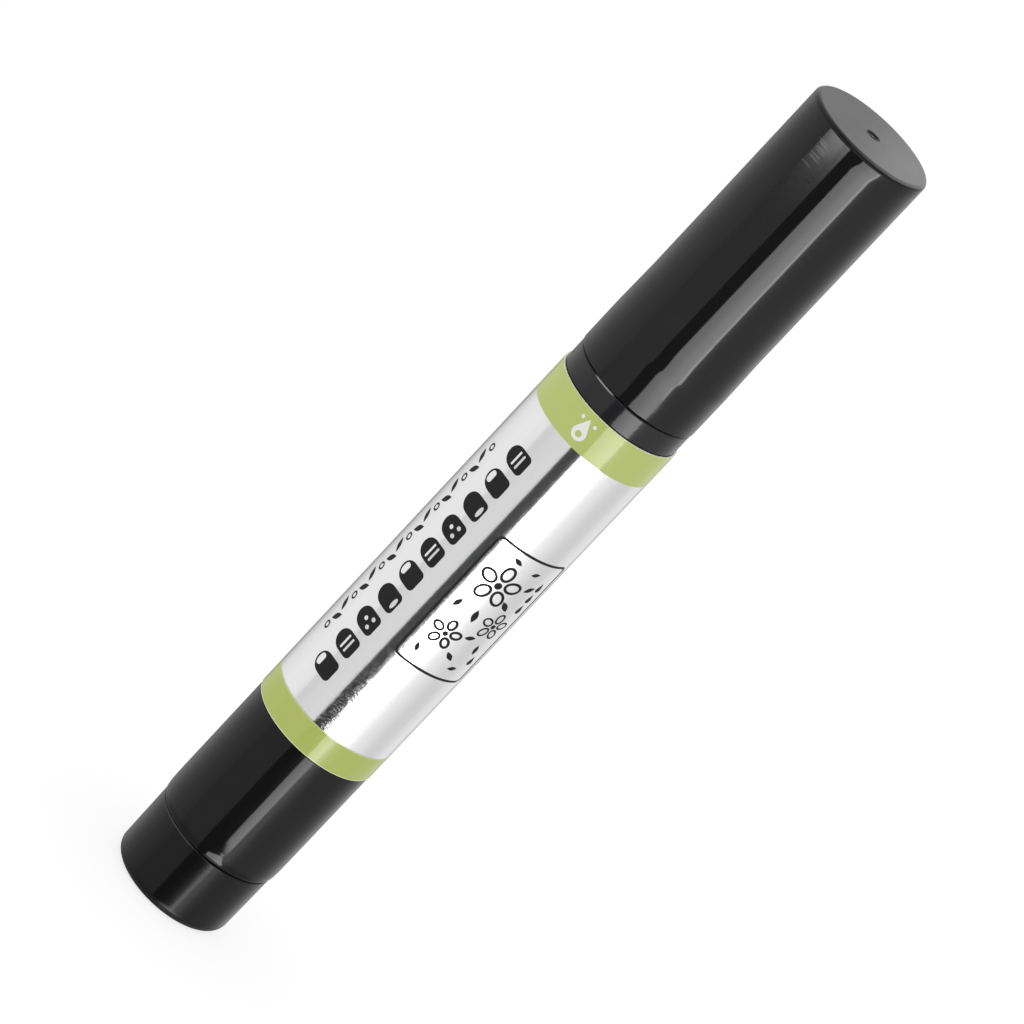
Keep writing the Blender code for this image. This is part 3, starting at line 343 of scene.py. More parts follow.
def add_ring(bm, radius, height, count):
    """Add a ring of vertices about the axis."""
    points = [(radius * MM * cos(a), radius * MM * sin(a), height * MM) for a in turns(count)]
    return [bm.verts.new(point) for point in points]


def skin(bm, rows, closed=True):
    """Fill the faces between neighbouring rows of vertices. A row of one vertex is a pole."""
    for low, high in zip(rows, rows[1:]):
        count = max(len(low), len(high))
        for k in range(count if closed else count - 1):
            n = (k + 1) % count
            if len(low) == 1:
                bm.faces.new((low[0], high[k], high[n]))
            elif len(high) == 1:
                bm.faces.new((low[k], low[n], high[0]))
            else:
                bm.faces.new((low[k], low[n], high[n], high[k]))


def lathe(name, outline, segments=SHELL_SEGMENTS):
    """Turn an outline in millimetres into a smooth closed body about the axis."""
    on_axis = outline[0][0] == 0 and outline[-1][0] == 0
    bm = bmesh.new()
    rings = []
    for r, z in supported(outline, closed=not on_axis):
        rings.append(add_ring(bm, r, z, segments if r else 1))
    skin(bm, rings if on_axis else rings + rings[:1])
    return bm_object(name, bm)


def blocks(name, count, inner, outer, width, bottom, top):
    """Return a ring of upright blocks that point at the axis."""
    bm = bmesh.new()
    size = Matrix.Diagonal(((outer - inner) * MM, width * MM, (top - bottom) * MM, 1.0))
    shift = Matrix.Translation(((inner + outer) / 2 * MM, 0, (bottom + top) / 2 * MM))
    for angle in turns(count):
        turn = Matrix.Rotation(angle, 4, "Z")
        bmesh.ops.create_cube(bm, size=1.0, matrix=turn @ shift @ size)
    return bm_object(name, bm, smooth=False)


def hex_prism(name, radius, bottom, top):
    """Return a hexagonal prism about the axis."""
    bm = bmesh.new()
    face = bm.faces.new(add_ring(bm, radius, bottom, 6))
    extruded = bmesh.ops.extrude_face_region(bm, geom=[face])
    risen = [item for item in extruded["geom"] if isinstance(item, bmesh.types.BMVert)]
    bmesh.ops.translate(bm, vec=(0, 0, (top - bottom) * MM), verts=risen)
    return bm_object(name, bm, smooth=False)


def combine(target, tool, operation):
    """Join or cut a piece by another for good."""
    modifier = target.modifiers.new(name="combine", type="BOOLEAN")
    modifier.operation = operation
    modifier.solver = "EXACT"
    modifier.object = tool
    mesh = evaluated(target)
    target.modifiers.clear()
    target.data = smoothed(mesh)
    bpy.data.objects.remove(tool)


# ---- node helper


class Graph:
    """Short calls to build a shader's nodes."""

    def __init__(self, tree):
        self.tree = tree
        self.material = None
        tree.nodes.clear()

    def node(self, kind, inputs=None, **settings):
        made = self.tree.nodes.new("ShaderNode" + kind)
        for key, value in settings.items():
            setattr(made, key, value)
        for key, value in (inputs or {}).items():
            self.feed(made.inputs[key], value)
        return made

    def feed(self, socket, value):
        if isinstance(value, bpy.types.NodeSocket):
            self.tree.links.new(value, socket)
        else:
            socket.default_value = (*value, 1.0) if socket.type == "RGBA" else value

    def math(self, operation, *values, clamp=False):
        made = self.node("Math", dict(enumerate(values)), operation=operation, use_clamp=clamp)
        return made.outputs[0]

    def times(self, a, b):
        return self.math("MULTIPLY", a, b)

    def scaled(self, value, factor, offset):
        return self.math("MULTIPLY_ADD", value, factor, offset)

    def inverse(self, value):
        return self.math("SUBTRACT", 1.0, value)

    def step(self, value, low, high):
        """0 below low, 1 above high, smooth between."""
        inputs = {"Value": value, "From Min": low, "From Max": high}
        return self.node("MapRange", inputs, interpolation_type="SMOOTHSTEP").outputs["Result"]

    def band(self, value, rise, fall):
        """1 between a rise and a fall, each given as its low and high ends."""
        return self.times(self.step(value, *rise), self.inverse(self.step(value, *fall)))

    def curve(self, value, points, top):
        """A piecewise linear curve through points given in real units, up to a top value."""
        low, high = points[0][0], points[-1][0]
        share = self.math("DIVIDE", self.math("SUBTRACT", value, low), high - low, clamp=True)
        made = self.node("FloatCurve", {"Value": share})
        curve = made.mapping.curves[0]
        scaled = [((x - low) / (high - low), y / top) for x, y in points]
        while len(curve.points) < len(scaled):
            curve.points.new(0.5, 0.5)
        for point, (x, y) in zip(curve.points, scaled):
            point.location = (x, y)
            point.handle_type = "VECTOR"
        made.mapping.update()
        return self.times(made.outputs["Value"], top)

    def mix(self, factor, a, b):
        return self.node("Mix", {0: factor, 6: a, 7: b}, data_type="RGBA").outputs[2]

    def noise(self, vector, scale, detail=2.0, roughness=0.5):
        inputs = {"Vector": vector, "Scale": scale, "Detail": detail, "Roughness": roughness}
        return self.node("TexNoise", inputs).outputs["Fac"]

    def stretched(self, vector, across, along):
        inputs = {0: vector, 1: (across, across, along)}
        return self.node("VectorMath", inputs, operation="MULTIPLY").outputs[0]


def new_material(name):
    """Return the empty graph of a new material."""
    material = bpy.data.materials.new(name)
    material.use_nodes = True
    graph = Graph(material.node_tree)
    graph.material = material
    return graph


def finished(graph, shader):
    """Connect a shader to the output and return the material."""
    graph.node("OutputMaterial", {"Surface": shader.outputs[0]})
    return graph.material


def principled(graph, base, roughness, normal, more=None):
    """Finish a material with one principled shader. More of its inputs may be given by name."""
    inputs = {"Base Color": base, "Roughness": roughness, **(more or {})}
    if normal:
        inputs["Normal"] = normal
    return finished(graph, graph.node("BsdfPrincipled", inputs))


def position(graph):
    return graph.node("TexCoord").outputs["Object"]


def cylinder_place(graph):
    """Return the angle about the axis in degrees, 0 at -Y, the height and the raw point."""
    point = position(graph)
    x, y, z = graph.node("SeparateXYZ", {0: point}).outputs
    angle = graph.math("ARCTAN2", x, graph.times(y, -1.0))
    return graph.math("DEGREES", angle), graph.math("DIVIDE", z, MM), point


def bump(graph, height, distance, strength=1.0, **under):
    """Tilt a normal by a height map. The normal under it, if any, is given as Normal."""
    inputs = {"Height": height, "Distance": distance, "Strength": strength, **under}
    return graph.node("Bump", inputs).outputs["Normal"]


# ---- materials

# Fades of the surface marks, painted highlights and painted shades: heights in millimetres, angles
# in degrees
SCUFF_FOOT = (124.7, 125.2)
SCUFF_HEAD = (124.6, 125.2)
SCUFF_SIDES = ((-21.5, -20.0), (-14.0, -7.0))
SWAY_END = (90.0, 98.0)
HOOK_FOOT = (124.8, 126.3)
HOOK_SIDE = (-4.0, 3.0)
KINK_SIDE = (60.0, 80.0)
COLLAR_GLINT_SIDES = ((-34.0, -27.0), (-13.0, -7.0))
COLLAR_GLINT_LINE = ((86.1, 86.17), (86.27, 86.31))
KNOB_FOOT_END = (0.6, 1.8)
KNOB_GLINT_FOOT = (KNOB_TOP - 0.14, KNOB_TOP - 0.08)
KNOB_GLINT_SIDE = (-16.0, 2.0)
SEAM_HALF = (0.25, 0.5)
FOIL_SPECK_SIDES = ((-9.0, 1.0), (8.0, 16.0))
FOIL_SPECK_END = (38.0, 52.0)
FOIL_SHADOW_LINE = (LOW_BAND_TOP + 0.06, LOW_BAND_TOP + 0.14)
GREEN_SHADE_CHANGE = (45.0, 65.0)
GREEN_GLINT_FOOT = (LABEL_BOTTOM + 0.09, LABEL_BOTTOM + 0.15)
GREEN_GLINT_HEAD = (LOW_BAND_TOP - 0.13, LOW_BAND_TOP - 0.07)


def black_gloss_material(name, low, high, specular, wave_height, scuffed):
    """Polished black moulded plastic, with faint flow waves and hair scratches."""
    g = new_material(name)
    angle, height, point = cylinder_place(g)
    waves = g.noise(g.stretched(point, 1, 0.22), 420.0, 2.0)
    hair = g.noise(g.stretched(point, 1, 9), 900.0, 3.0, 0.6)
    normal = bump(g, waves, wave_height)
    base = g.mix(g.noise(point, 420.0, 3.0), low, high)
    if scuffed:
        ragged = g.noise(g.stretched(point, 0.1, 2.4), 1100.0, 2.0, 0.6)
        along = g.scaled(ragged, 3.0, g.scaled(angle, -0.09, height))
        zone = g.times(g.step(along, *SCUFF_FOOT), g.inverse(g.step(height, *SCUFF_HEAD)))
        edge = g.scaled(ragged, 14.0, angle)
        zone = g.times(zone, g.band(edge, *SCUFF_SIDES))
        lines = g.noise(g.stretched(point, 0.08, 7), 700.0, 2.0, 0.75)
        scuffs = g.times(g.step(lines, 0.52, 0.64), zone)
        base = g.mix(scuffs, base, (0.085, 0.085, 0.088))
        sway = g.math("SUBTRACT", g.noise(point, 170.0, 1.0), 0.5)
        sway = g.times(sway, g.inverse(g.step(height, *SWAY_END)))
        normal = bump(g, sway, 0.00006, Normal=normal)
        sink = g.times(g.step(height, *HOOK_FOOT), g.step(angle, *HOOK_SIDE))
        kink = g.math("SUBTRACT", g.curve(height, CAP_KINK, CAP_KINK_TOP), CAP_KINK[0][1])
        kink = g.times(kink, g.inverse(g.step(angle, *KINK_SIDE)))
        turn = g.scaled(sink, -0.05, kink)
        turned = g.node("VectorRotate", {"Vector": normal, "Angle": turn}, rotation_type="Z_AXIS")
        normal = turned.outputs["Vector"]
    rough = g.scaled(hair, 0.05, 0.04)
    return principled(g, base, rough, normal, {"Specular IOR Level": specular})


def collar_material():
    """The collar's black, a little greyer and with a rougher edge to its gloss, with a painted
    highlight along its upper fillet.
    """
    g = new_material("black_collar")
    angle, height, point = cylinder_place(g)
    grain = g.noise(point, 2600.0, 2.0, 0.6)
    normal = bump(g, grain, 0.000009, 0.8)
    # Painted highlight: a pale thin line on the upper fillet, on one side, where a glint falls.
    painted_glint_turn = g.band(angle, *COLLAR_GLINT_SIDES)
    edge = g.band(height, *COLLAR_GLINT_LINE)
    base = g.mix(grain, (0.014, 0.0135, 0.0150), (0.020, 0.0190, 0.0215))
    base = g.mix(g.times(painted_glint_turn, edge), base, (0.36, 0.36, 0.37))
    rough = g.scaled(grain, 0.08, 0.06)
    return principled(g, base, rough, normal, {"Specular IOR Level": 0.3})


def satin_black_material(name, low, high, rough, grain, specular, lean=0.0):
    """Black plastic with a fine moulded texture. Given a lean in metres, it is painted lighter
    towards +X up to that lean, as painted light; without one, a painted highlight runs along the
    knob's rim.
    """
    g = new_material(name)
    angle, height, point = cylinder_place(g)
    scale, depth = grain
    smoothest, span = rough
    cloud = g.noise(point, 300.0, 3.0)
    normal = bump(g, g.noise(point, scale, 3.0, 0.6), depth, 0.8)
    x = g.node("SeparateXYZ", {0: point}).outputs["X"]
    foot = g.inverse(g.step(height, *KNOB_FOOT_END))
    rough = g.scaled(foot, 0.3, g.scaled(cloud, span, smoothest))
    base = g.mix(cloud, low, high)
    if lean:
        # Painted light: lighter towards +X, in noisy patches, as the light falls across the end
        # face.
        patches = g.scaled(g.noise(point, 240.0, 2.0), 0.5, 0.75)
        painted_light_side = g.times(g.step(x, -lean * 0.4, lean), patches)
        base = g.mix(painted_light_side, base, (0.105, 0.105, 0.107))
    else:
        # Painted highlight: a thin lighter line along the knob's rim, on one side, where a glint
        # falls.
        painted_light_mask = g.times(g.step(height, *KNOB_GLINT_FOOT), g.inverse(g.step(angle, *KNOB_GLINT_SIDE)))
        base = g.mix(painted_light_mask, base, (0.075, 0.075, 0.076))
    return principled(g, base, rough, normal, {"Specular IOR Level": specular})


def seam_line(g, angle):
    """The thin dark line where the film's end lies over its start, at the back."""
    away = g.math("ABSOLUTE", g.math("SUBTRACT", angle, OVERLAP_TURNS[1] - 360.0))
    return g.inverse(g.step(away, *SEAM_HALF))


def foil_material():
    """Silver metallised film: bright, with a fine grain that frays its reflections, dark specks
    painted in front as painted reflection, and a painted shadow line above the low band.
    """
    g = new_material("silver_foil")
    angle, height, point = cylinder_place(g)
    grain = g.noise(g.stretched(point, 1, 0.45), 5200.0, 2.0, 0.7)
    lay = g.noise(g.stretched(point, 1, 0.06), 900.0, 2.0)
    ripple = g.noise(g.stretched(point, 1, 0.2), 180.0, 1.0)
    coarse = g.inverse(g.step(height, *FOIL_SPECK_END))
    seam = seam_line(g, angle)
    # The front band where the reflected dark streak falls: it gets bump specks and rough pits, and
    # dark fibres painted into the colour as painted reflection.
    painted_light_mask = g.band(angle, *FOIL_SPECK_SIDES)
    painted_light_mask = g.times(painted_light_mask, g.scaled(coarse, 0.72, 0.28))
    specks = g.noise(g.stretched(point, 0.6, 1.2), 6000.0, 1.0, 0.6)
    pits = g.times(g.step(specks, 0.54, 0.64), painted_light_mask)
    specks = g.times(g.math("SUBTRACT", specks, 0.5), painted_light_mask)
    normal = bump(g, specks, 0.0000115)
    normal = bump(g, grain, 0.0000016, Normal=normal)
    normal = bump(g, lay, 0.000002, Normal=normal)
    normal = bump(g, ripple, 0.000004, Normal=normal)
    silver = g.mix(lay, (0.86, 0.86, 0.87), (0.90, 0.90, 0.905))
    # Painted shadow: a dark line on the foil just above the low band's top, beside the band's
    # painted highlight.
    painted_shadow_line = g.inverse(g.step(height, *FOIL_SHADOW_LINE))
    silver = g.mix(g.times(painted_shadow_line, 0.6), silver, (0.42, 0.43, 0.42))
    # Painted reflection: dark fibres painted into the silver within that front band, along the
    # reflected dark streak.
    fibres = g.noise(g.stretched(point, 0.5, 1.5), 5200.0, 1.0, 0.7)
    fibres = g.times(g.step(fibres, 0.46, 0.6), g.times(painted_light_mask, 0.75))
    silver = g.mix(fibres, silver, (0.22, 0.22, 0.23))
    silver = g.mix(seam, silver, (0.30, 0.30, 0.31))
    rough = g.scaled(pits, 0.13, g.scaled(grain, 0.06, 0.07))
    return principled(g, silver, rough, normal, {"Metallic": 1.0})


def green_material():
    """Green ink over the foil, under the film's gloss, with the lower band painted a little darker
    as painted shade and pale lines painted along its edges as painted highlights.
    """
    g = new_material("green_ink")
    angle, height, point = cylinder_place(g)
    mottle = g.noise(point, 1500.0, 3.0, 0.6)
    grain = g.noise(point, 5200.0, 2.0, 0.7)
    normal = bump(g, grain, 0.000002)
    # Painted shade: the lower band is a little darker than the upper band; the two meet in a fade
    # between 45 and 65 mm.
    low = g.mix(mottle, (0.432, 0.510, 0.124), (0.458, 0.537, 0.140))
    high = g.mix(mottle, (0.480, 0.562, 0.165), (0.505, 0.585, 0.185))
    ink = g.mix(g.step(height, *GREEN_SHADE_CHANGE), low, high)
    # Painted highlights: pale lines along the label's foot and, fainter, along the low band's top.
    foot = g.inverse(g.step(height, *GREEN_GLINT_FOOT))
    band_top_glint = g.times(g.step(height, *GREEN_GLINT_HEAD), 0.4)
    band_top_glint = g.times(band_top_glint, g.inverse(g.step(height, *GREEN_SHADE_CHANGE)))
    ink = g.mix(g.math("MAXIMUM", g.times(foot, 0.8), band_top_glint), ink, (0.82, 0.87, 0.58))
    ink = g.mix(seam_line(g, angle), ink, (0.14, 0.16, 0.05))
    coat = {"Coat Weight": 1.0, "Coat Roughness": 0.06, "Coat IOR": 1.4, "Coat Normal": normal}
    return principled(g, ink, 0.5, normal, {"Specular IOR Level": 0.0, **coat})


def ink_material(name, low, high):
    """Flat ink printed on the film."""
    g = new_material(name)
    point = position(g)
    mottle = g.noise(point, 2600.0, 3.0, 0.6)
    normal = bump(g, mottle, 0.000001, 0.6)
    return principled(g, g.mix(mottle, low, high), 0.45, normal, {"Specular IOR Level": 0.06})


def plastic_material(name, low, high, roughness, subsurface=0.0):
    """Plain moulded plastic with faint cloudiness and a fine grain."""
    g = new_material(name)
    point = position(g)
    cloud = g.noise(point, 350.0, 3.0)
    grain = g.noise(point, 3000.0, 2.0)
    base, rough = g.mix(cloud, low, high), g.scaled(cloud, 0.1, roughness)
    more = {"Subsurface Scale": 0.0006, "Subsurface Radius": WHITE, "Subsurface Weight": subsurface}
    return principled(g, base, rough, bump(g, grain, 0.000003, 0.5), more if subsurface else None)


def steel_material():
    """Polished steel with fine turning marks."""
    g = new_material("steel")
    point = position(g)
    turning = g.noise(g.stretched(point, 0.3, 8), 1400.0, 2.0)
    base = g.mix(turning, (0.55, 0.55, 0.56), (0.66, 0.66, 0.67))
    normal = bump(g, turning, 0.000002, 0.6)
    return principled(g, base, g.scaled(turning, 0.1, 0.14), normal, {"Metallic": 1.0})


def rubber_material():
    """Black seal rubber with a dusty bloom."""
    g = new_material("rubber")
    point = position(g)
    bloom = g.noise(point, 1800.0, 3.0, 0.6)
    base = g.mix(bloom, (0.018, 0.018, 0.018), (0.034, 0.034, 0.034))
    return principled(g, base, g.scaled(bloom, 0.15, 0.62), bump(g, bloom, 0.000004, 0.7))


def bristle_material():
    """Amber nylon strands, paler towards their tips."""
    g = new_material("bristle")
    height, point = cylinder_place(g)[1:]
    fleck = g.noise(g.stretched(point, 1, 0.1), 9000.0, 2.0)
    rise = g.step(height, TUFT_ROOT, TUFT_TIP)
    low = g.mix(fleck, (0.36, 0.22, 0.09), (0.50, 0.33, 0.15))
    high = g.mix(fleck, (0.62, 0.46, 0.25), (0.74, 0.58, 0.36))
    return principled(g, g.mix(rise, low, high), 0.36, None, {"Specular IOR Level": 0.5})


MATERIALS = {
    "gloss": black_gloss_material(
        "black_gloss", (0.0070, 0.0070, 0.0073), (0.0090, 0.0090, 0.0093),
        specular=0.28, wave_height=0.000004, scuffed=True,
    ),
    "tube": black_gloss_material(
        "black_tube", (0.0058, 0.0058, 0.0060), (0.0076, 0.0076, 0.0078),
        specular=0.22, wave_height=0.000010, scuffed=False,
    ),
    "collar": collar_material(),
    "satin": satin_black_material(
        "black_satin", (0.0050, 0.0050, 0.0052), (0.0068, 0.0068, 0.0070),
        rough=(0.075, 0.05), grain=(2400.0, 0.000003), specular=0.2,
    ),
    "end": satin_black_material(
        "black_end_face", (0.010, 0.010, 0.0105), (0.014, 0.014, 0.0145),
        rough=(0.24, 0.08), grain=(3000.0, 0.0000012), specular=0.23, lean=0.0065,
    ),
    "foil": foil_material(),
    "green": green_material(),
    "black_ink": ink_material("black_ink", (0.017, 0.017, 0.018), (0.028, 0.028, 0.029)),
    "white_ink": ink_material("white_ink", (0.80, 0.81, 0.76), (0.88, 0.88, 0.84)),
    "natural": plastic_material(
        "natural_plastic", (0.66, 0.66, 0.62), (0.76, 0.76, 0.72), 0.34, 0.2
    ),
    "white": plastic_material("white_plastic", (0.76, 0.76, 0.75), (0.83, 0.83, 0.82), 0.26, 0.1),
    "grey": plastic_material("grey_plastic", (0.26, 0.27, 0.28), (0.32, 0.33, 0.34), 0.34),
    "film_edge": plastic_material("film_edge", (0.82, 0.86, 0.64), (0.90, 0.93, 0.72), 0.34),
    "rubber": rubber_material(),
    "steel": steel_material(),
    "bristle": bristle_material(),
}


def dress(obj, *names):
    """Give an object its materials."""
    obj.data.materials.clear()
    for name in names:
        obj.data.materials.append(MATERIALS[name])


# ---- pieces


def make_knob():
    """The end cup: rounded foot, softened rim, hollow inside with its ribbed hex socket."""
    outline = [
        (0, 0), *rounded(KNOB_RADIUS_LOW, 0, KNOB_FILLET, 20, top=False),
        *rounded(KNOB_RADIUS_HIGH, KNOB_TOP, KNOB_RIM_FILLET, 6), (KNOB_WALL_INNER, KNOB_TOP),
        (KNOB_WALL_INNER, KNOB_FLOOR), (KNOB_SOCKET_RADIUS, KNOB_FLOOR),
        (KNOB_SOCKET_RADIUS, KNOB_SOCKET_TOP), (0, KNOB_SOCKET_TOP),
    ]
    knob = lathe("end_knob", outline)
    inner, outer = KNOB_SOCKET_RADIUS - OVERCUT, KNOB_WALL_INNER + OVERCUT
    foot = KNOB_FLOOR - OVERCUT
    ribs = blocks("knob_ribs", RIB_COUNT, inner, outer, KNOB_RIB_WIDTH, foot, KNOB_RIB_TOP)
    combine(knob, ribs, "UNION")
    socket = hex_prism("knob_hex", KNOB_HEX_RADIUS, KNOB_FLOOR, KNOB_SOCKET_TOP + OVERCUT)
    combine(knob, socket, "DIFFERENCE")
    dress(knob, "satin")
    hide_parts("twist_knob")
    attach(knob, "knob")


def make_barrel():
    """The tube with its rounded lower lip, label recess and slotted bore."""
    low, mid, high = BUSH_GROOVE
    outline = [(BORE_RADIUS + 0.25, BARREL_BOTTOM)]
    outline += arc(*LIP_CENTRE, *LIP_RADII, -90, LIP_ARC_END, 24)
    blend_low, blend_high = LIP_BLEND
    for z in spread(blend_low, blend_high, 12)[1:]:
        outline.append((BARREL_RADIUS - LIP_BLEND_CURVE * (blend_high - z) ** 2, z))
    outline += [
        *rounded(BARREL_RADIUS, RECESS_BOTTOM, 0.03, 3),
        (RECESS_RADIUS, RECESS_BOTTOM), (RECESS_RADIUS, BARREL_TOP),
        (BORE_RADIUS + 0.25, BARREL_TOP), (BORE_RADIUS, BARREL_TOP - 0.25),
        (BORE_RADIUS, SHOULDER_TOP), (SHOULDER_RADIUS, SHOULDER_TOP),
        (SHOULDER_RADIUS, SHOULDER_BOTTOM), (BORE_RADIUS, SHOULDER_BOTTOM),
        (BORE_RADIUS, high), (BUSH_GROOVE_RADIUS, mid), (BORE_RADIUS, low),
        (BORE_RADIUS, BARREL_BOTTOM + 0.25),
    ]
    barrel = lathe("barrel_shell", outline)
    slot_foot = BARREL_BOTTOM - OVERCUT
    slots = blocks("barrel_slots", 4, SLOT_INNER, SLOT_RADIUS, SLOT_WIDTH, slot_foot, SLOT_TOP)
    combine(barrel, slots, "DIFFERENCE")
    dress(barrel, "tube")
    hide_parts("barrel_tube")
    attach(barrel, "barrel")


def paint_bands(obj):
    """Give the faces of the two end bands the green ink, and the cut edges bare film."""
    for polygon in obj.data.polygons:
        height = polygon.center.z / MM
        if abs(polygon.normal.z) > 0.6:
            polygon.material_index = 2
        elif height < LOW_BAND_TOP or height > HIGH_BAND_BOTTOM:
            polygon.material_index = 1


def make_label():
    """The film, silver between two green bands, and its overlap at the back."""
    edge = LABEL_EDGE
    outline = [
        (LABEL_INNER_RADIUS, LABEL_BOTTOM), (LABEL_RADIUS - edge, LABEL_BOTTOM),
        (LABEL_RADIUS, LABEL_BOTTOM + edge), (LABEL_RADIUS, LOW_BAND_TOP),
        (LABEL_RADIUS, HIGH_BAND_BOTTOM), (LABEL_RADIUS, LABEL_TOP - edge),
        (LABEL_RADIUS - edge, LABEL_TOP), (LABEL_HEM_RADIUS, LABEL_TOP),
        (LABEL_HEM_RADIUS, LABEL_TOP - 0.05), (LABEL_INNER_RADIUS, LABEL_TOP - 0.2),
        (LABEL_INNER_RADIUS, HIGH_BAND_BOTTOM), (LABEL_INNER_RADIUS, LOW_BAND_TOP),
    ]
    label = lathe("label_film", outline)
    dress(label, "foil", "green", "film_edge")
    paint_bands(label)
    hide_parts("label_sleeve")
    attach(label, "barrel")
    bm = bmesh.new()
    grid = []
    for height in (LABEL_BOTTOM + edge, LOW_BAND_TOP, HIGH_BAND_BOTTOM, LABEL_TOP - edge):
        points = [on_cylinder(INK_RADIUS, radians(turn), height) for turn in spread(*OVERLAP_TURNS)]
        grid.append([bm.verts.new(point) for point in points])
    skin(bm, grid, closed=False)
    thicken(bm, LABEL_RADIUS * MM)
    overlap = bm_object("label_overlap", bm)
    dress(overlap, "foil", "green", "film_edge")
    paint_bands(overlap)
    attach(overlap, "barrel")


def thicken(bm, inner_radius):
    """Give an open sheet on a cylinder its thickness, down to an inner radius."""
    outer = list(bm.faces)
    rim = [edge for face in outer for edge in face.edges if len(edge.link_faces) == 1]
    copied = bmesh.ops.duplicate(bm, geom=outer)
    inner = {item for item in copied["geom"] if isinstance(item, bmesh.types.BMVert)}
    for vert in inner:
        share = inner_radius / hypot(vert.co.x, vert.co.y)
        vert.co.x *= share
        vert.co.y *= share
    inner_of = {one: other for one, other in copied["vert_map"].items() if other in inner}
    for edge in rim:
        a, b = edge.verts
        bm.faces.new((a, b, inner_of[b], inner_of[a]))


def placed(cx, cz, x, z, turn):
    """Return a point turned about the origin and moved to (cx, cz)."""
    along, across = cos(turn), sin(turn)
    return cx + x * along - z * across, cz + x * across + z * along


def ring_loop(cx, cz, rx, rz, steps, turn=0.0):
    """Return a closed ellipse in (arc, height)."""
    return [placed(cx, cz, rx * cos(a), rz * sin(a), turn) for a in turns(steps)]


def box_loop(x0, z0, x1, z1, radius, steps=8):
    """Return a closed rounded rectangle in (arc, height)."""
    left, right, low, high = x0 + radius, x1 - radius, z0 + radius, z1 - radius
    points = []
    for cx, cz, start in ((right, low, -90), (right, high, 0), (left, high, 90), (left, low, 180)):
        points += arc(cx, cz, radius, radius, start, start + 90, steps)
    return points


def nail_loop(x_root, z_mid, length, width, steps=20):
    """Return a fingernail outline whose root is at x_root and whose tip points to smaller arc."""
    half = width / 2
    straight = 0.5 * length
    corner = 0.22 * width
    points = arc(x_root - corner, z_mid - half + corner, corner, corner, -90, 0, 6)
    points += arc(x_root - corner, z_mid + half - corner, corner, corner, 0, 90, 6)
    for angle in spread(0, pi, steps + 1):
        bulge = sin(angle) ** 0.85
        points.append((x_root - straight - (length - straight) * bulge, z_mid + half * cos(angle)))
    return points


def drop_loop(x, z, radius, length, steps=28):
    """Return a drop whose point lies towards greater height."""
    points = []
    for angle in turns(steps):
        pull = max(0.0, sin(angle)) ** 3
        across = radius * cos(angle) * (1 - 0.55 * pull)
        points.append((x + across, z + radius * sin(angle) + (length - radius) * pull))
    return points


def leaf_loop(x, z, length, width, turn, steps=14):
    """Return a pointed leaf in (arc, height)."""
    points = []
    for side in (1, -1):
        for k in range(steps):
            share = k / steps if side > 0 else 1 - k / steps
            off = side * width / 2 * sin(pi * share)
            points.append(placed(x, z, (share - 0.5) * length, off, turn))
    return points


def flower_loops(x, z, size, line):
    """Return the loops of an open flower with outlined petals."""
    loops = [ring_loop(x, z, 0.42 * size, 0.42 * size, 24)]
    for petal in range(FLOWER_PETALS):
        turn = tau * (petal + 0.25) / FLOWER_PETALS
        px, pz = x + 1.62 * size * cos(turn), z + 1.62 * size * sin(turn)
        loops.append(ring_loop(px, pz, size, 0.78 * size, 32, turn))
        loops.append(ring_loop(px, pz, size - line, 0.78 * size - line, 32, turn))
    return loops


def print_piece(name, loops, ink="black_ink"):
    """Print filled loops on the film as ink with a real, very small thickness."""
    curve = bpy.data.curves.new(name, "CURVE")
    curve.dimensions = "2D"
    curve.fill_mode = "BOTH"
    for loop in loops:
        spline = curve.splines.new("POLY")
        spline.points.add(len(loop) - 1)
        spline.use_cyclic_u = True
        for point, (x, z) in zip(spline.points, loop):
            point.co = (x, z, 0, 1)
    holder = add_object(name + "_flat", curve)
    flat = evaluated(holder)
    bpy.data.objects.remove(holder)
    bm = bmesh.new()
    bm.from_mesh(flat)
    bmesh.ops.remove_doubles(bm, verts=bm.verts, dist=0.0005)
    places = [vert.co.x for vert in bm.verts]
    cut = floor(min(places) / PRINT_FACET) * PRINT_FACET + PRINT_FACET
    while cut < max(places):
        geom = bm.verts[:] + bm.edges[:] + bm.faces[:]
        plane = {"plane_co": (cut, 0, 0), "plane_no": (1, 0, 0)}
        bmesh.ops.bisect_plane(bm, geom=geom, dist=0.00001, **plane)
        cut += PRINT_FACET
    for vert in bm.verts:
        vert.co = on_cylinder(INK_RADIUS, vert.co.x / LABEL_RADIUS, vert.co.y)
    thicken(bm, LABEL_RADIUS * MM - 0.000001)
    piece = bm_object(name, bm)
    dress(piece, ink)
    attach(piece, "barrel")


def arc_at(degrees):
    return radians(degrees) * LABEL_RADIUS


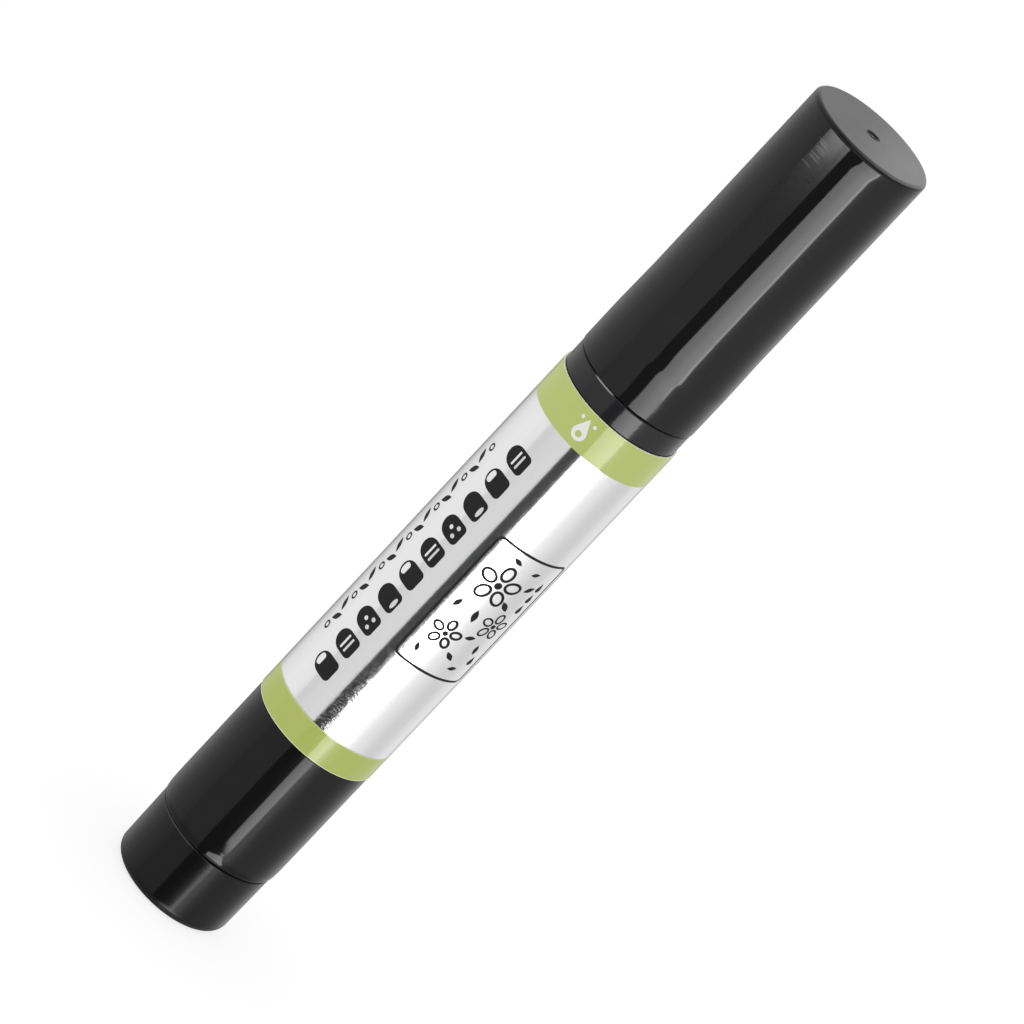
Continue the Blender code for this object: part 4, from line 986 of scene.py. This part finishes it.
def make_print():
    """Generic print: a row of nail shapes, a leaf chain, a framed flower spray and drops."""
    tip, root = [arc_at(turn) for turn in NAIL_TURNS]
    nails = []
    for index, z in enumerate(spread(*NAIL_HEIGHTS)):
        nails.append(nail_loop(root, z, root - tip, NAIL_WIDTH))
        kind = index % 4
        if kind == 0:
            nails.append(nail_loop(root - 2.25, z, 0.85, 1.6))
        elif kind == 1:
            for x in (root - 1.25, root - 1.95):
                nails.append(box_loop(x, z - 1.0, x + 0.3, z + 1.0, 0.12))
        elif kind == 2:
            for dx, dz in ((1.0, -0.6), (1.0, 0.6), (1.9, 0.0)):
                nails.append(ring_loop(root - dx, z + dz, 0.28, 0.28, 20))
        else:
            nails.append(ring_loop(root - 0.55, z, 0.28, 0.75, 24))
    print_piece("print_nails", nails)

    chain = []
    middle = arc_at(CHAIN_TURN)
    for index, z in enumerate(spread(*CHAIN_HEIGHTS)):
        if index % 3 == 0:
            chain.append(ring_loop(middle, z, 0.55, 0.55, 28))
            chain.append(ring_loop(middle, z, 0.3, 0.3, 24))
        else:
            side = 1 if index % 3 == 1 else -1
            chain.append(leaf_loop(middle + 0.35 * side, z, 2.0, 0.8, radians(90 - 38 * side)))
    print_piece("print_chain", chain)

    left, right = [arc_at(turn) for turn in FRAME_TURNS]
    low, high = FRAME_HEIGHTS
    framed = []
    for inset in (0, FRAME_LINE):
        corners = (left + inset, low + inset, right - inset, high - inset)
        framed.append(box_loop(*corners, FRAME_CORNER - inset))
    print_piece("print_frame", framed)

    spray = [loop for flower in FLOWERS for loop in flower_loops(*flower)]
    spray += [leaf_loop(x, z, size, 0.42 * size, radians(turn)) for x, z, size, turn in LEAVES]
    spray += [drop_loop(x, z, 0.42, 1.0) for x, z in DROPS]
    print_piece("print_spray", spray)

    centre = arc_at(MARK_TURN)
    mark = [drop_loop(centre, 80.2, 0.95, 2.1), ring_loop(centre, 80.1, 0.42, 0.42, 20)]
    mark += [ring_loop(centre + shift, 82.0, 0.24, 0.24, 16) for shift in (-0.95, 0.95)]
    print_piece("print_band_mark", mark, "white_ink")


def make_collar():
    """The black band with its beaded neck."""
    low, mid, high = SNAP_BEAD
    band_low, band_high = COLLAR_BAND_BOTTOM, COLLAR_BAND_TOP
    outline = [
        (COLLAR_HOLLOW_RADIUS, COLLAR_SKIRT_BOTTOM), (CORE_RADIUS, COLLAR_SKIRT_BOTTOM),
        (CORE_RADIUS, band_low), *rounded(COLLAR_RADIUS, band_low, 0.04, 6, top=False),
        *rounded(COLLAR_RADIUS, band_high, 0.2, 8), (COLLAR_NECK_RADIUS, band_high),
        (COLLAR_NECK_RADIUS, low), (SNAP_BEAD_RADIUS, mid), (COLLAR_NECK_RADIUS, high),
        *rounded(COLLAR_NECK_RADIUS, COLLAR_NECK_TOP, 0.5, 8),
        (NOSE_BORE_RADIUS + 0.1, COLLAR_NECK_TOP), (NOSE_BORE_RADIUS, COLLAR_NECK_TOP - 0.1),
        (NOSE_BORE_RADIUS, COLLAR_SHOULDER), (COLLAR_HOLLOW_RADIUS, COLLAR_SHOULDER),
    ]
    collar = lathe("collar_ring", outline)
    dress(collar, "collar")
    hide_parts("front_collar")
    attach(collar, "barrel")


def make_cap():
    """The cap: slightly flared rim, rounded end, gate dimple with its torn nub."""
    flare_low, flare_high = CAP_FLARE
    low, mid, high = SNAP_BEAD
    edge = CAP_EDGE
    gate_floor = CAP_TOP - GATE_DEPTH
    outline = [
        (0, CAP_INNER_TOP), (CAP_BORE_RADIUS, CAP_INNER_TOP),
        (CAP_BORE_RADIUS, CAP_SOCKET_TOP), (CAP_SOCKET_RADIUS, CAP_SOCKET_TOP),
        (CAP_SOCKET_RADIUS, high), (CAP_GROOVE_RADIUS, mid), (CAP_SOCKET_RADIUS, low),
        (CAP_SOCKET_RADIUS, CAP_BOTTOM + edge), (CAP_SOCKET_RADIUS + edge, CAP_BOTTOM),
        *rounded(CAP_RIM_RADIUS, CAP_BOTTOM, edge, 6, top=False),
        (CAP_RIM_RADIUS, flare_low), (CAP_BODY_RADIUS, flare_high),
        *rounded(CAP_BODY_RADIUS, CAP_TOP, CAP_TOP_FILLET, 14),
        *arc(GATE_RADIUS + edge, CAP_TOP - edge, edge, edge, 90, 160, 4),
        (GATE_RADIUS * 0.72, CAP_TOP - GATE_DEPTH * 0.9), (GATE_RADIUS * 0.5, gate_floor),
        (GATE_NUB_RADIUS, gate_floor), (GATE_NUB_RADIUS * 0.8, CAP_TOP - edge), (0, CAP_TOP - 0.1),
    ]
    cap = lathe("cap_cover", outline)
    outer, top = CAP_BORE_RADIUS + OVERCUT, CAP_INNER_TOP + OVERCUT
    ribs = blocks("cap_ribs", RIB_COUNT, CAP_RIB_INNER, outer, CAP_RIB_WIDTH, CAP_RIB_BOTTOM, top)
    combine(cap, ribs, "UNION")
    dress(cap, "gloss", "end")
    for vert in cap.data.vertices:
        reach = hypot(vert.co.x, vert.co.y) / MM
        if vert.co.z > (CAP_TOP - 0.5) * MM and 0.1 < reach < 1.1:
            around = atan2(vert.co.y, vert.co.x)
            swing = 1 + 0.04 * sin(2 * around + 0.4) + 0.02 * sin(7 * around + 1)
            vert.co.x *= swing
            vert.co.y *= swing
    for polygon in cap.data.polygons:
        centre = polygon.center
        on_end = centre.z > (CAP_TOP - 0.3) * MM and polygon.normal.z > 0.62
        if on_end and hypot(centre.x, centre.y) > GATE_RADIUS * MM:
            polygon.material_index = 1
    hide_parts("cap_shell")
    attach(cap, "cap")


def make_liner():
    """The inner cap, with a rounded mouth that closes on the nose."""
    liner = lathe("cap_inner", LINER_OUTLINE, SMALL_SEGMENTS)
    dress(liner, "natural")
    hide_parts("cap_liner")
    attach(liner, "cap")


def make_nose():
    """The nozzle above the collar, with softened edges."""
    outline = NOSE_FOOT + arc(4.6, 95.3, 0.2, 0.2, 0, 50, 4) + [NOSE_WAIST]
    outline += arc(2.15, 107.9, 0.28, 0.28, 8, 90, 6) + NOSE_BORE
    nose = lathe("brush_nose", outline, SMALL_SEGMENTS)
    dress(nose, "white")
    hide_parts("nose_cone")
    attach(nose, "barrel")


def make_tuft():
    """The brush: a core and hundreds of fine strands that gather to a point."""
    rng = random.Random(7)
    outline = [(0, TUFT_HOLLOW[1]), TUFT_HOLLOW, (TUFT_HOLLOW[0], TUFT_FOOT)]
    outline += [(TUFT_ROOT_RADIUS, TUFT_FOOT), (TUFT_ROOT_RADIUS - 0.05, TUFT_ROOT)]
    length = TUFT_TIP - TUFT_ROOT
    for share in spread(0, 1, 13)[1:-1]:
        outline.append((tuft_radius(share) * 0.86, TUFT_ROOT + length * 0.97 * share))
    outline.append((0, TUFT_ROOT + length * 0.96))
    core = lathe("brush_core", outline, 48)
    dress(core, "bristle")
    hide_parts("brush_tuft")
    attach(core, "barrel")
    bm = bmesh.new()
    for index in range(TUFT_STRANDS):
        share_in = sqrt((index + 0.5) / TUFT_STRANDS)
        angle = index * GOLDEN_ANGLE + rng.uniform(-0.15, 0.15)
        reach = 0.84 + 0.14 * (1 - share_in) + rng.uniform(-0.05, 0.02)
        lean = rng.uniform(-0.10, 0.10)
        rings = []
        for rise in spread(0, 1, STRAND_POINTS):
            share = reach * rise
            around = angle + lean * share
            radius = (tuft_radius(share) - STRAND_RADIUS) * (0.55 + 0.45 * share_in)
            thick = STRAND_RADIUS * (1 - 0.75 * rise ** 2)
            height = TUFT_ROOT - 0.25 + length * share
            centre = Vector((radius * cos(around), radius * sin(around), height))
            offsets = [Vector((cos(turn), sin(turn), 0)) * thick for turn in turns(STRAND_SIDES)]
            rings.append([bm.verts.new((centre + offset) * MM) for offset in offsets])
        skin(bm, rings)
        bm.faces.new(rings[0][::-1])
        bm.faces.new(rings[-1])
    strands = bm_object("brush_strands", bm)
    dress(strands, "bristle")
    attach(strands, "barrel")


def tuft_radius(share):
    """The tuft's outer radius at a share of its free length."""
    if share <= 0.25:
        rise = share / 0.25
        return TUFT_ROOT_RADIUS + (TUFT_BELLY_RADIUS - TUFT_ROOT_RADIUS) * sin(rise * pi / 2)
    fall = min(1.0, (share - 0.25) / 0.75)
    return max(0.09, TUFT_BELLY_RADIUS * cos(fall * pi / 2) ** 0.9)


def make_ferrule():
    """The small tube round the tuft, with a rolled rim and a crimp."""
    ferrule = lathe("brush_tube", FERRULE_OUTLINE, SMALL_SEGMENTS)
    dress(ferrule, "steel")
    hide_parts("brush_ferrule")
    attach(ferrule, "barrel")


INNER_LOOKS = {
    "grey": ("retainer_bush", "ratchet_ring"),
    "natural": ("guide_nut", "reservoir_plug", "piston"),
    "rubber": ("plug_o_ring", "piston_o_ring"),
    "steel": ("feed_pipe", "mixing_ball_1", "mixing_ball_2"),
    "white": ("drive_sleeve", "lead_screw"),
}

make_knob()
make_barrel()
make_label()
make_print()
make_collar()
make_cap()
make_liner()
make_nose()
make_tuft()
make_ferrule()
for look, node_names in INNER_LOOKS.items():
    for node_name in node_names:
        dress(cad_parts[node_name], look)


# ---- stage, light, camera


def make_floor():
    """A plain pale floor that keeps the shadow."""
    bm = bmesh.new()
    bmesh.ops.create_grid(bm, x_segments=8, y_segments=8, size=FLOOR_HALF)
    floor = bm_object("floor", bm, smooth=False)
    g = new_material("floor_paper")
    paper = g.noise(position(g), 60.0, 3.0)
    shade = g.mix(paper, (0.80, 0.80, 0.80), (0.82, 0.82, 0.82))
    diffuse = g.node("BsdfDiffuse", {"Color": shade})
    glow = g.node("Emission", {"Color": WHITE, "Strength": FLOOR_GLOW})
    seen = g.node("LightPath").outputs["Is Camera Ray"]
    share = g.times(seen, FLOOR_GLOW_SHARE)
    mixed = g.node("MixShader", {0: share, 1: diffuse.outputs[0], 2: glow.outputs[0]})
    floor.data.materials.append(finished(g, mixed))
    floor.visible_glossy = False


def interpolated(points, x):
    """Return the value at x of a piecewise linear curve."""
    for (x0, y0), (x1, y1) in zip(points, points[1:]):
        if x <= x1:
            return y0 + (y1 - y0) * (x - x0) / (x1 - x0)
    return points[-1][1]


def make_card():
    """A curved card far in front, below the floor's level, that only reflections see."""
    bm = bmesh.new()
    rows = ([], [])
    for degrees in spread(CARD_EDGE[0][0], CARD_EDGE[-1][0], CARD_COLUMNS):
        for row, height in zip(rows, (interpolated(CARD_EDGE, degrees), CARD_TOP)):
            row.append(bm.verts.new(on_cylinder(CARD_RADIUS, radians(degrees), height)))
    skin(bm, rows, closed=False)
    card = bm_object("light_card", bm, smooth=False)
    g = new_material("light_card")
    angle, height, point = cylinder_place(g)
    level = g.curve(angle, CARD_LEVELS, 10)
    cloud = g.scaled(g.noise(point, 30.0, 1.0), 0.12, 0.94)
    glow = g.node("Emission", {"Color": WHITE, "Strength": g.times(level, cloud)})
    card.data.materials.append(finished(g, glow))
    for kind in ("camera", "diffuse", "transmission", "volume_scatter", "shadow"):
        setattr(card, "visible_" + kind, False)


def make_world():
    """White surroundings. Reflections see a studio: panels, a dark gap and a long strip light."""
    world = bpy.data.worlds.new("studio")
    bpy.context.scene.world = world
    world.use_nodes = True
    g = Graph(world.node_tree)
    direction = g.node("TexCoord").outputs["Generated"]
    x, y, z = g.node("SeparateXYZ", {0: direction}).outputs
    azimuth = g.math("DEGREES", g.math("ARCTAN2", x, g.times(y, -1.0)))
    elevation = g.math("DEGREES", g.math("ARCSINE", z))

    below = g.math("MAXIMUM", g.math("SUBTRACT", STRIP_LEFT[0][0], elevation), 0.0)
    lean_left, lean_right = [
        g.math("MINIMUM", g.times(below, each), most) for each, most in (LEAN_LEFT, LEAN_RIGHT)
    ]
    strip_left = g.math("SUBTRACT", g.curve(elevation, STRIP_LEFT, 60), lean_left)
    strip_right = g.math("ADD", g.curve(elevation, STRIP_RIGHT, 60), lean_right)
    after_gap = g.step(azimuth, *GAP_START)
    past_left = g.math("SUBTRACT", azimuth, strip_left)
    after_left = g.step(past_left, *STRIP_START)
    past_right = g.math("SUBTRACT", azimuth, strip_right)
    after_right = g.step(past_right, *STRIP_END)

    left_level = g.curve(azimuth, PANEL_LEVELS, 2)
    strip_level = g.curve(azimuth, STRIP_LEVELS, 10)
    strip_level = g.times(strip_level, g.curve(elevation, STRIP_SHARES, 2))
    glint = g.times(g.step(past_right, *GLINT_START), g.step(elevation, *GLINT_FOOT))
    strip_level = g.scaled(glint, 3.2, strip_level)
    strip_level = g.times(strip_level, g.scaled(g.step(elevation, *STRIP_FOOT), 0.86, 0.14))
    strip_level = g.times(strip_level, g.scaled(g.step(elevation, *STRIP_HEAD), -0.72, 1.0))
    right_level = g.curve(azimuth, RIGHT_LEVELS, 4)
    level = g.times(left_level, g.inverse(after_gap))
    gap = g.times(after_gap, g.inverse(after_left))
    glow = g.times(g.band(elevation, *FRAY_HEIGHTS), g.step(past_left, *FRAY_REACH))
    level = g.scaled(gap, g.scaled(glow, 0.9, 0.06), level)
    strip = g.times(after_left, g.inverse(after_right))
    level = g.math("ADD", level, g.times(strip, strip_level))
    level = g.math("ADD", level, g.times(after_right, right_level))

    under = g.inverse(g.step(elevation, *GROUND_TOP))
    shade = g.times(g.times(under, g.inverse(strip)), -0.38)
    level = g.times(level, g.math("ADD", shade, 1.0))
    sky = g.step(elevation, *SKY_FOOT)
    rear = g.curve(g.math("ABSOLUTE", azimuth), SKY_LEVELS, 2)
    level = g.math("ADD", g.times(level, g.inverse(sky)), g.times(rear, sky))
    dimmed = g.times(g.band(azimuth, *DIM_SIDES), g.band(elevation, *DIM_HEIGHTS))
    level = g.times(level, g.scaled(dimmed, -0.9, 1.0))

    glossy = g.node("LightPath").outputs["Is Glossy Ray"]
    strength = g.math("ADD", g.times(glossy, level), g.inverse(glossy))
    background = g.node("Background", {"Color": WHITE, "Strength": strength})
    g.node("OutputWorld", {"Surface": background.outputs[0]})
    world.cycles.sampling_method = "NONE"


def make_camera():
    """The photograph's camera: a long lens from the front, above, rolled to the right."""
    rise, fall = sin(CAMERA_ELEVATION), cos(CAMERA_ELEVATION)
    turn, keep = sin(CAMERA_ROLL), cos(CAMERA_ROLL)
    forward = Vector((0, fall, -rise))
    right = Vector((keep, turn * rise, turn * fall))
    up = Vector((-turn, keep * rise, keep * fall))
    focal_pixels = CAMERA_LENS / CAMERA_SENSOR * FRAME_PIXELS
    shift_right = (AIM_PIXEL[0] - FRAME_PIXELS / 2) / focal_pixels * CAMERA_DEPTH
    shift_up = (FRAME_PIXELS / 2 - AIM_PIXEL[1]) / focal_pixels * CAMERA_DEPTH
    aim = Vector((0, 0, AIM_HEIGHT))
    place = aim - shift_right * right - shift_up * up - CAMERA_DEPTH * forward
    data = bpy.data.cameras.new("camera")
    data.lens = CAMERA_LENS
    data.sensor_width = CAMERA_SENSOR
    data.clip_start = 0.05
    camera = add_object("camera", data)
    axes = Matrix((right, up, -forward)).transposed()
    camera.matrix_world = Matrix.Translation(place) @ axes.to_4x4()
    bpy.context.scene.camera = camera


make_floor()
make_card()
make_world()
make_camera()
bpy.context.scene.view_settings.view_transform = "Standard"
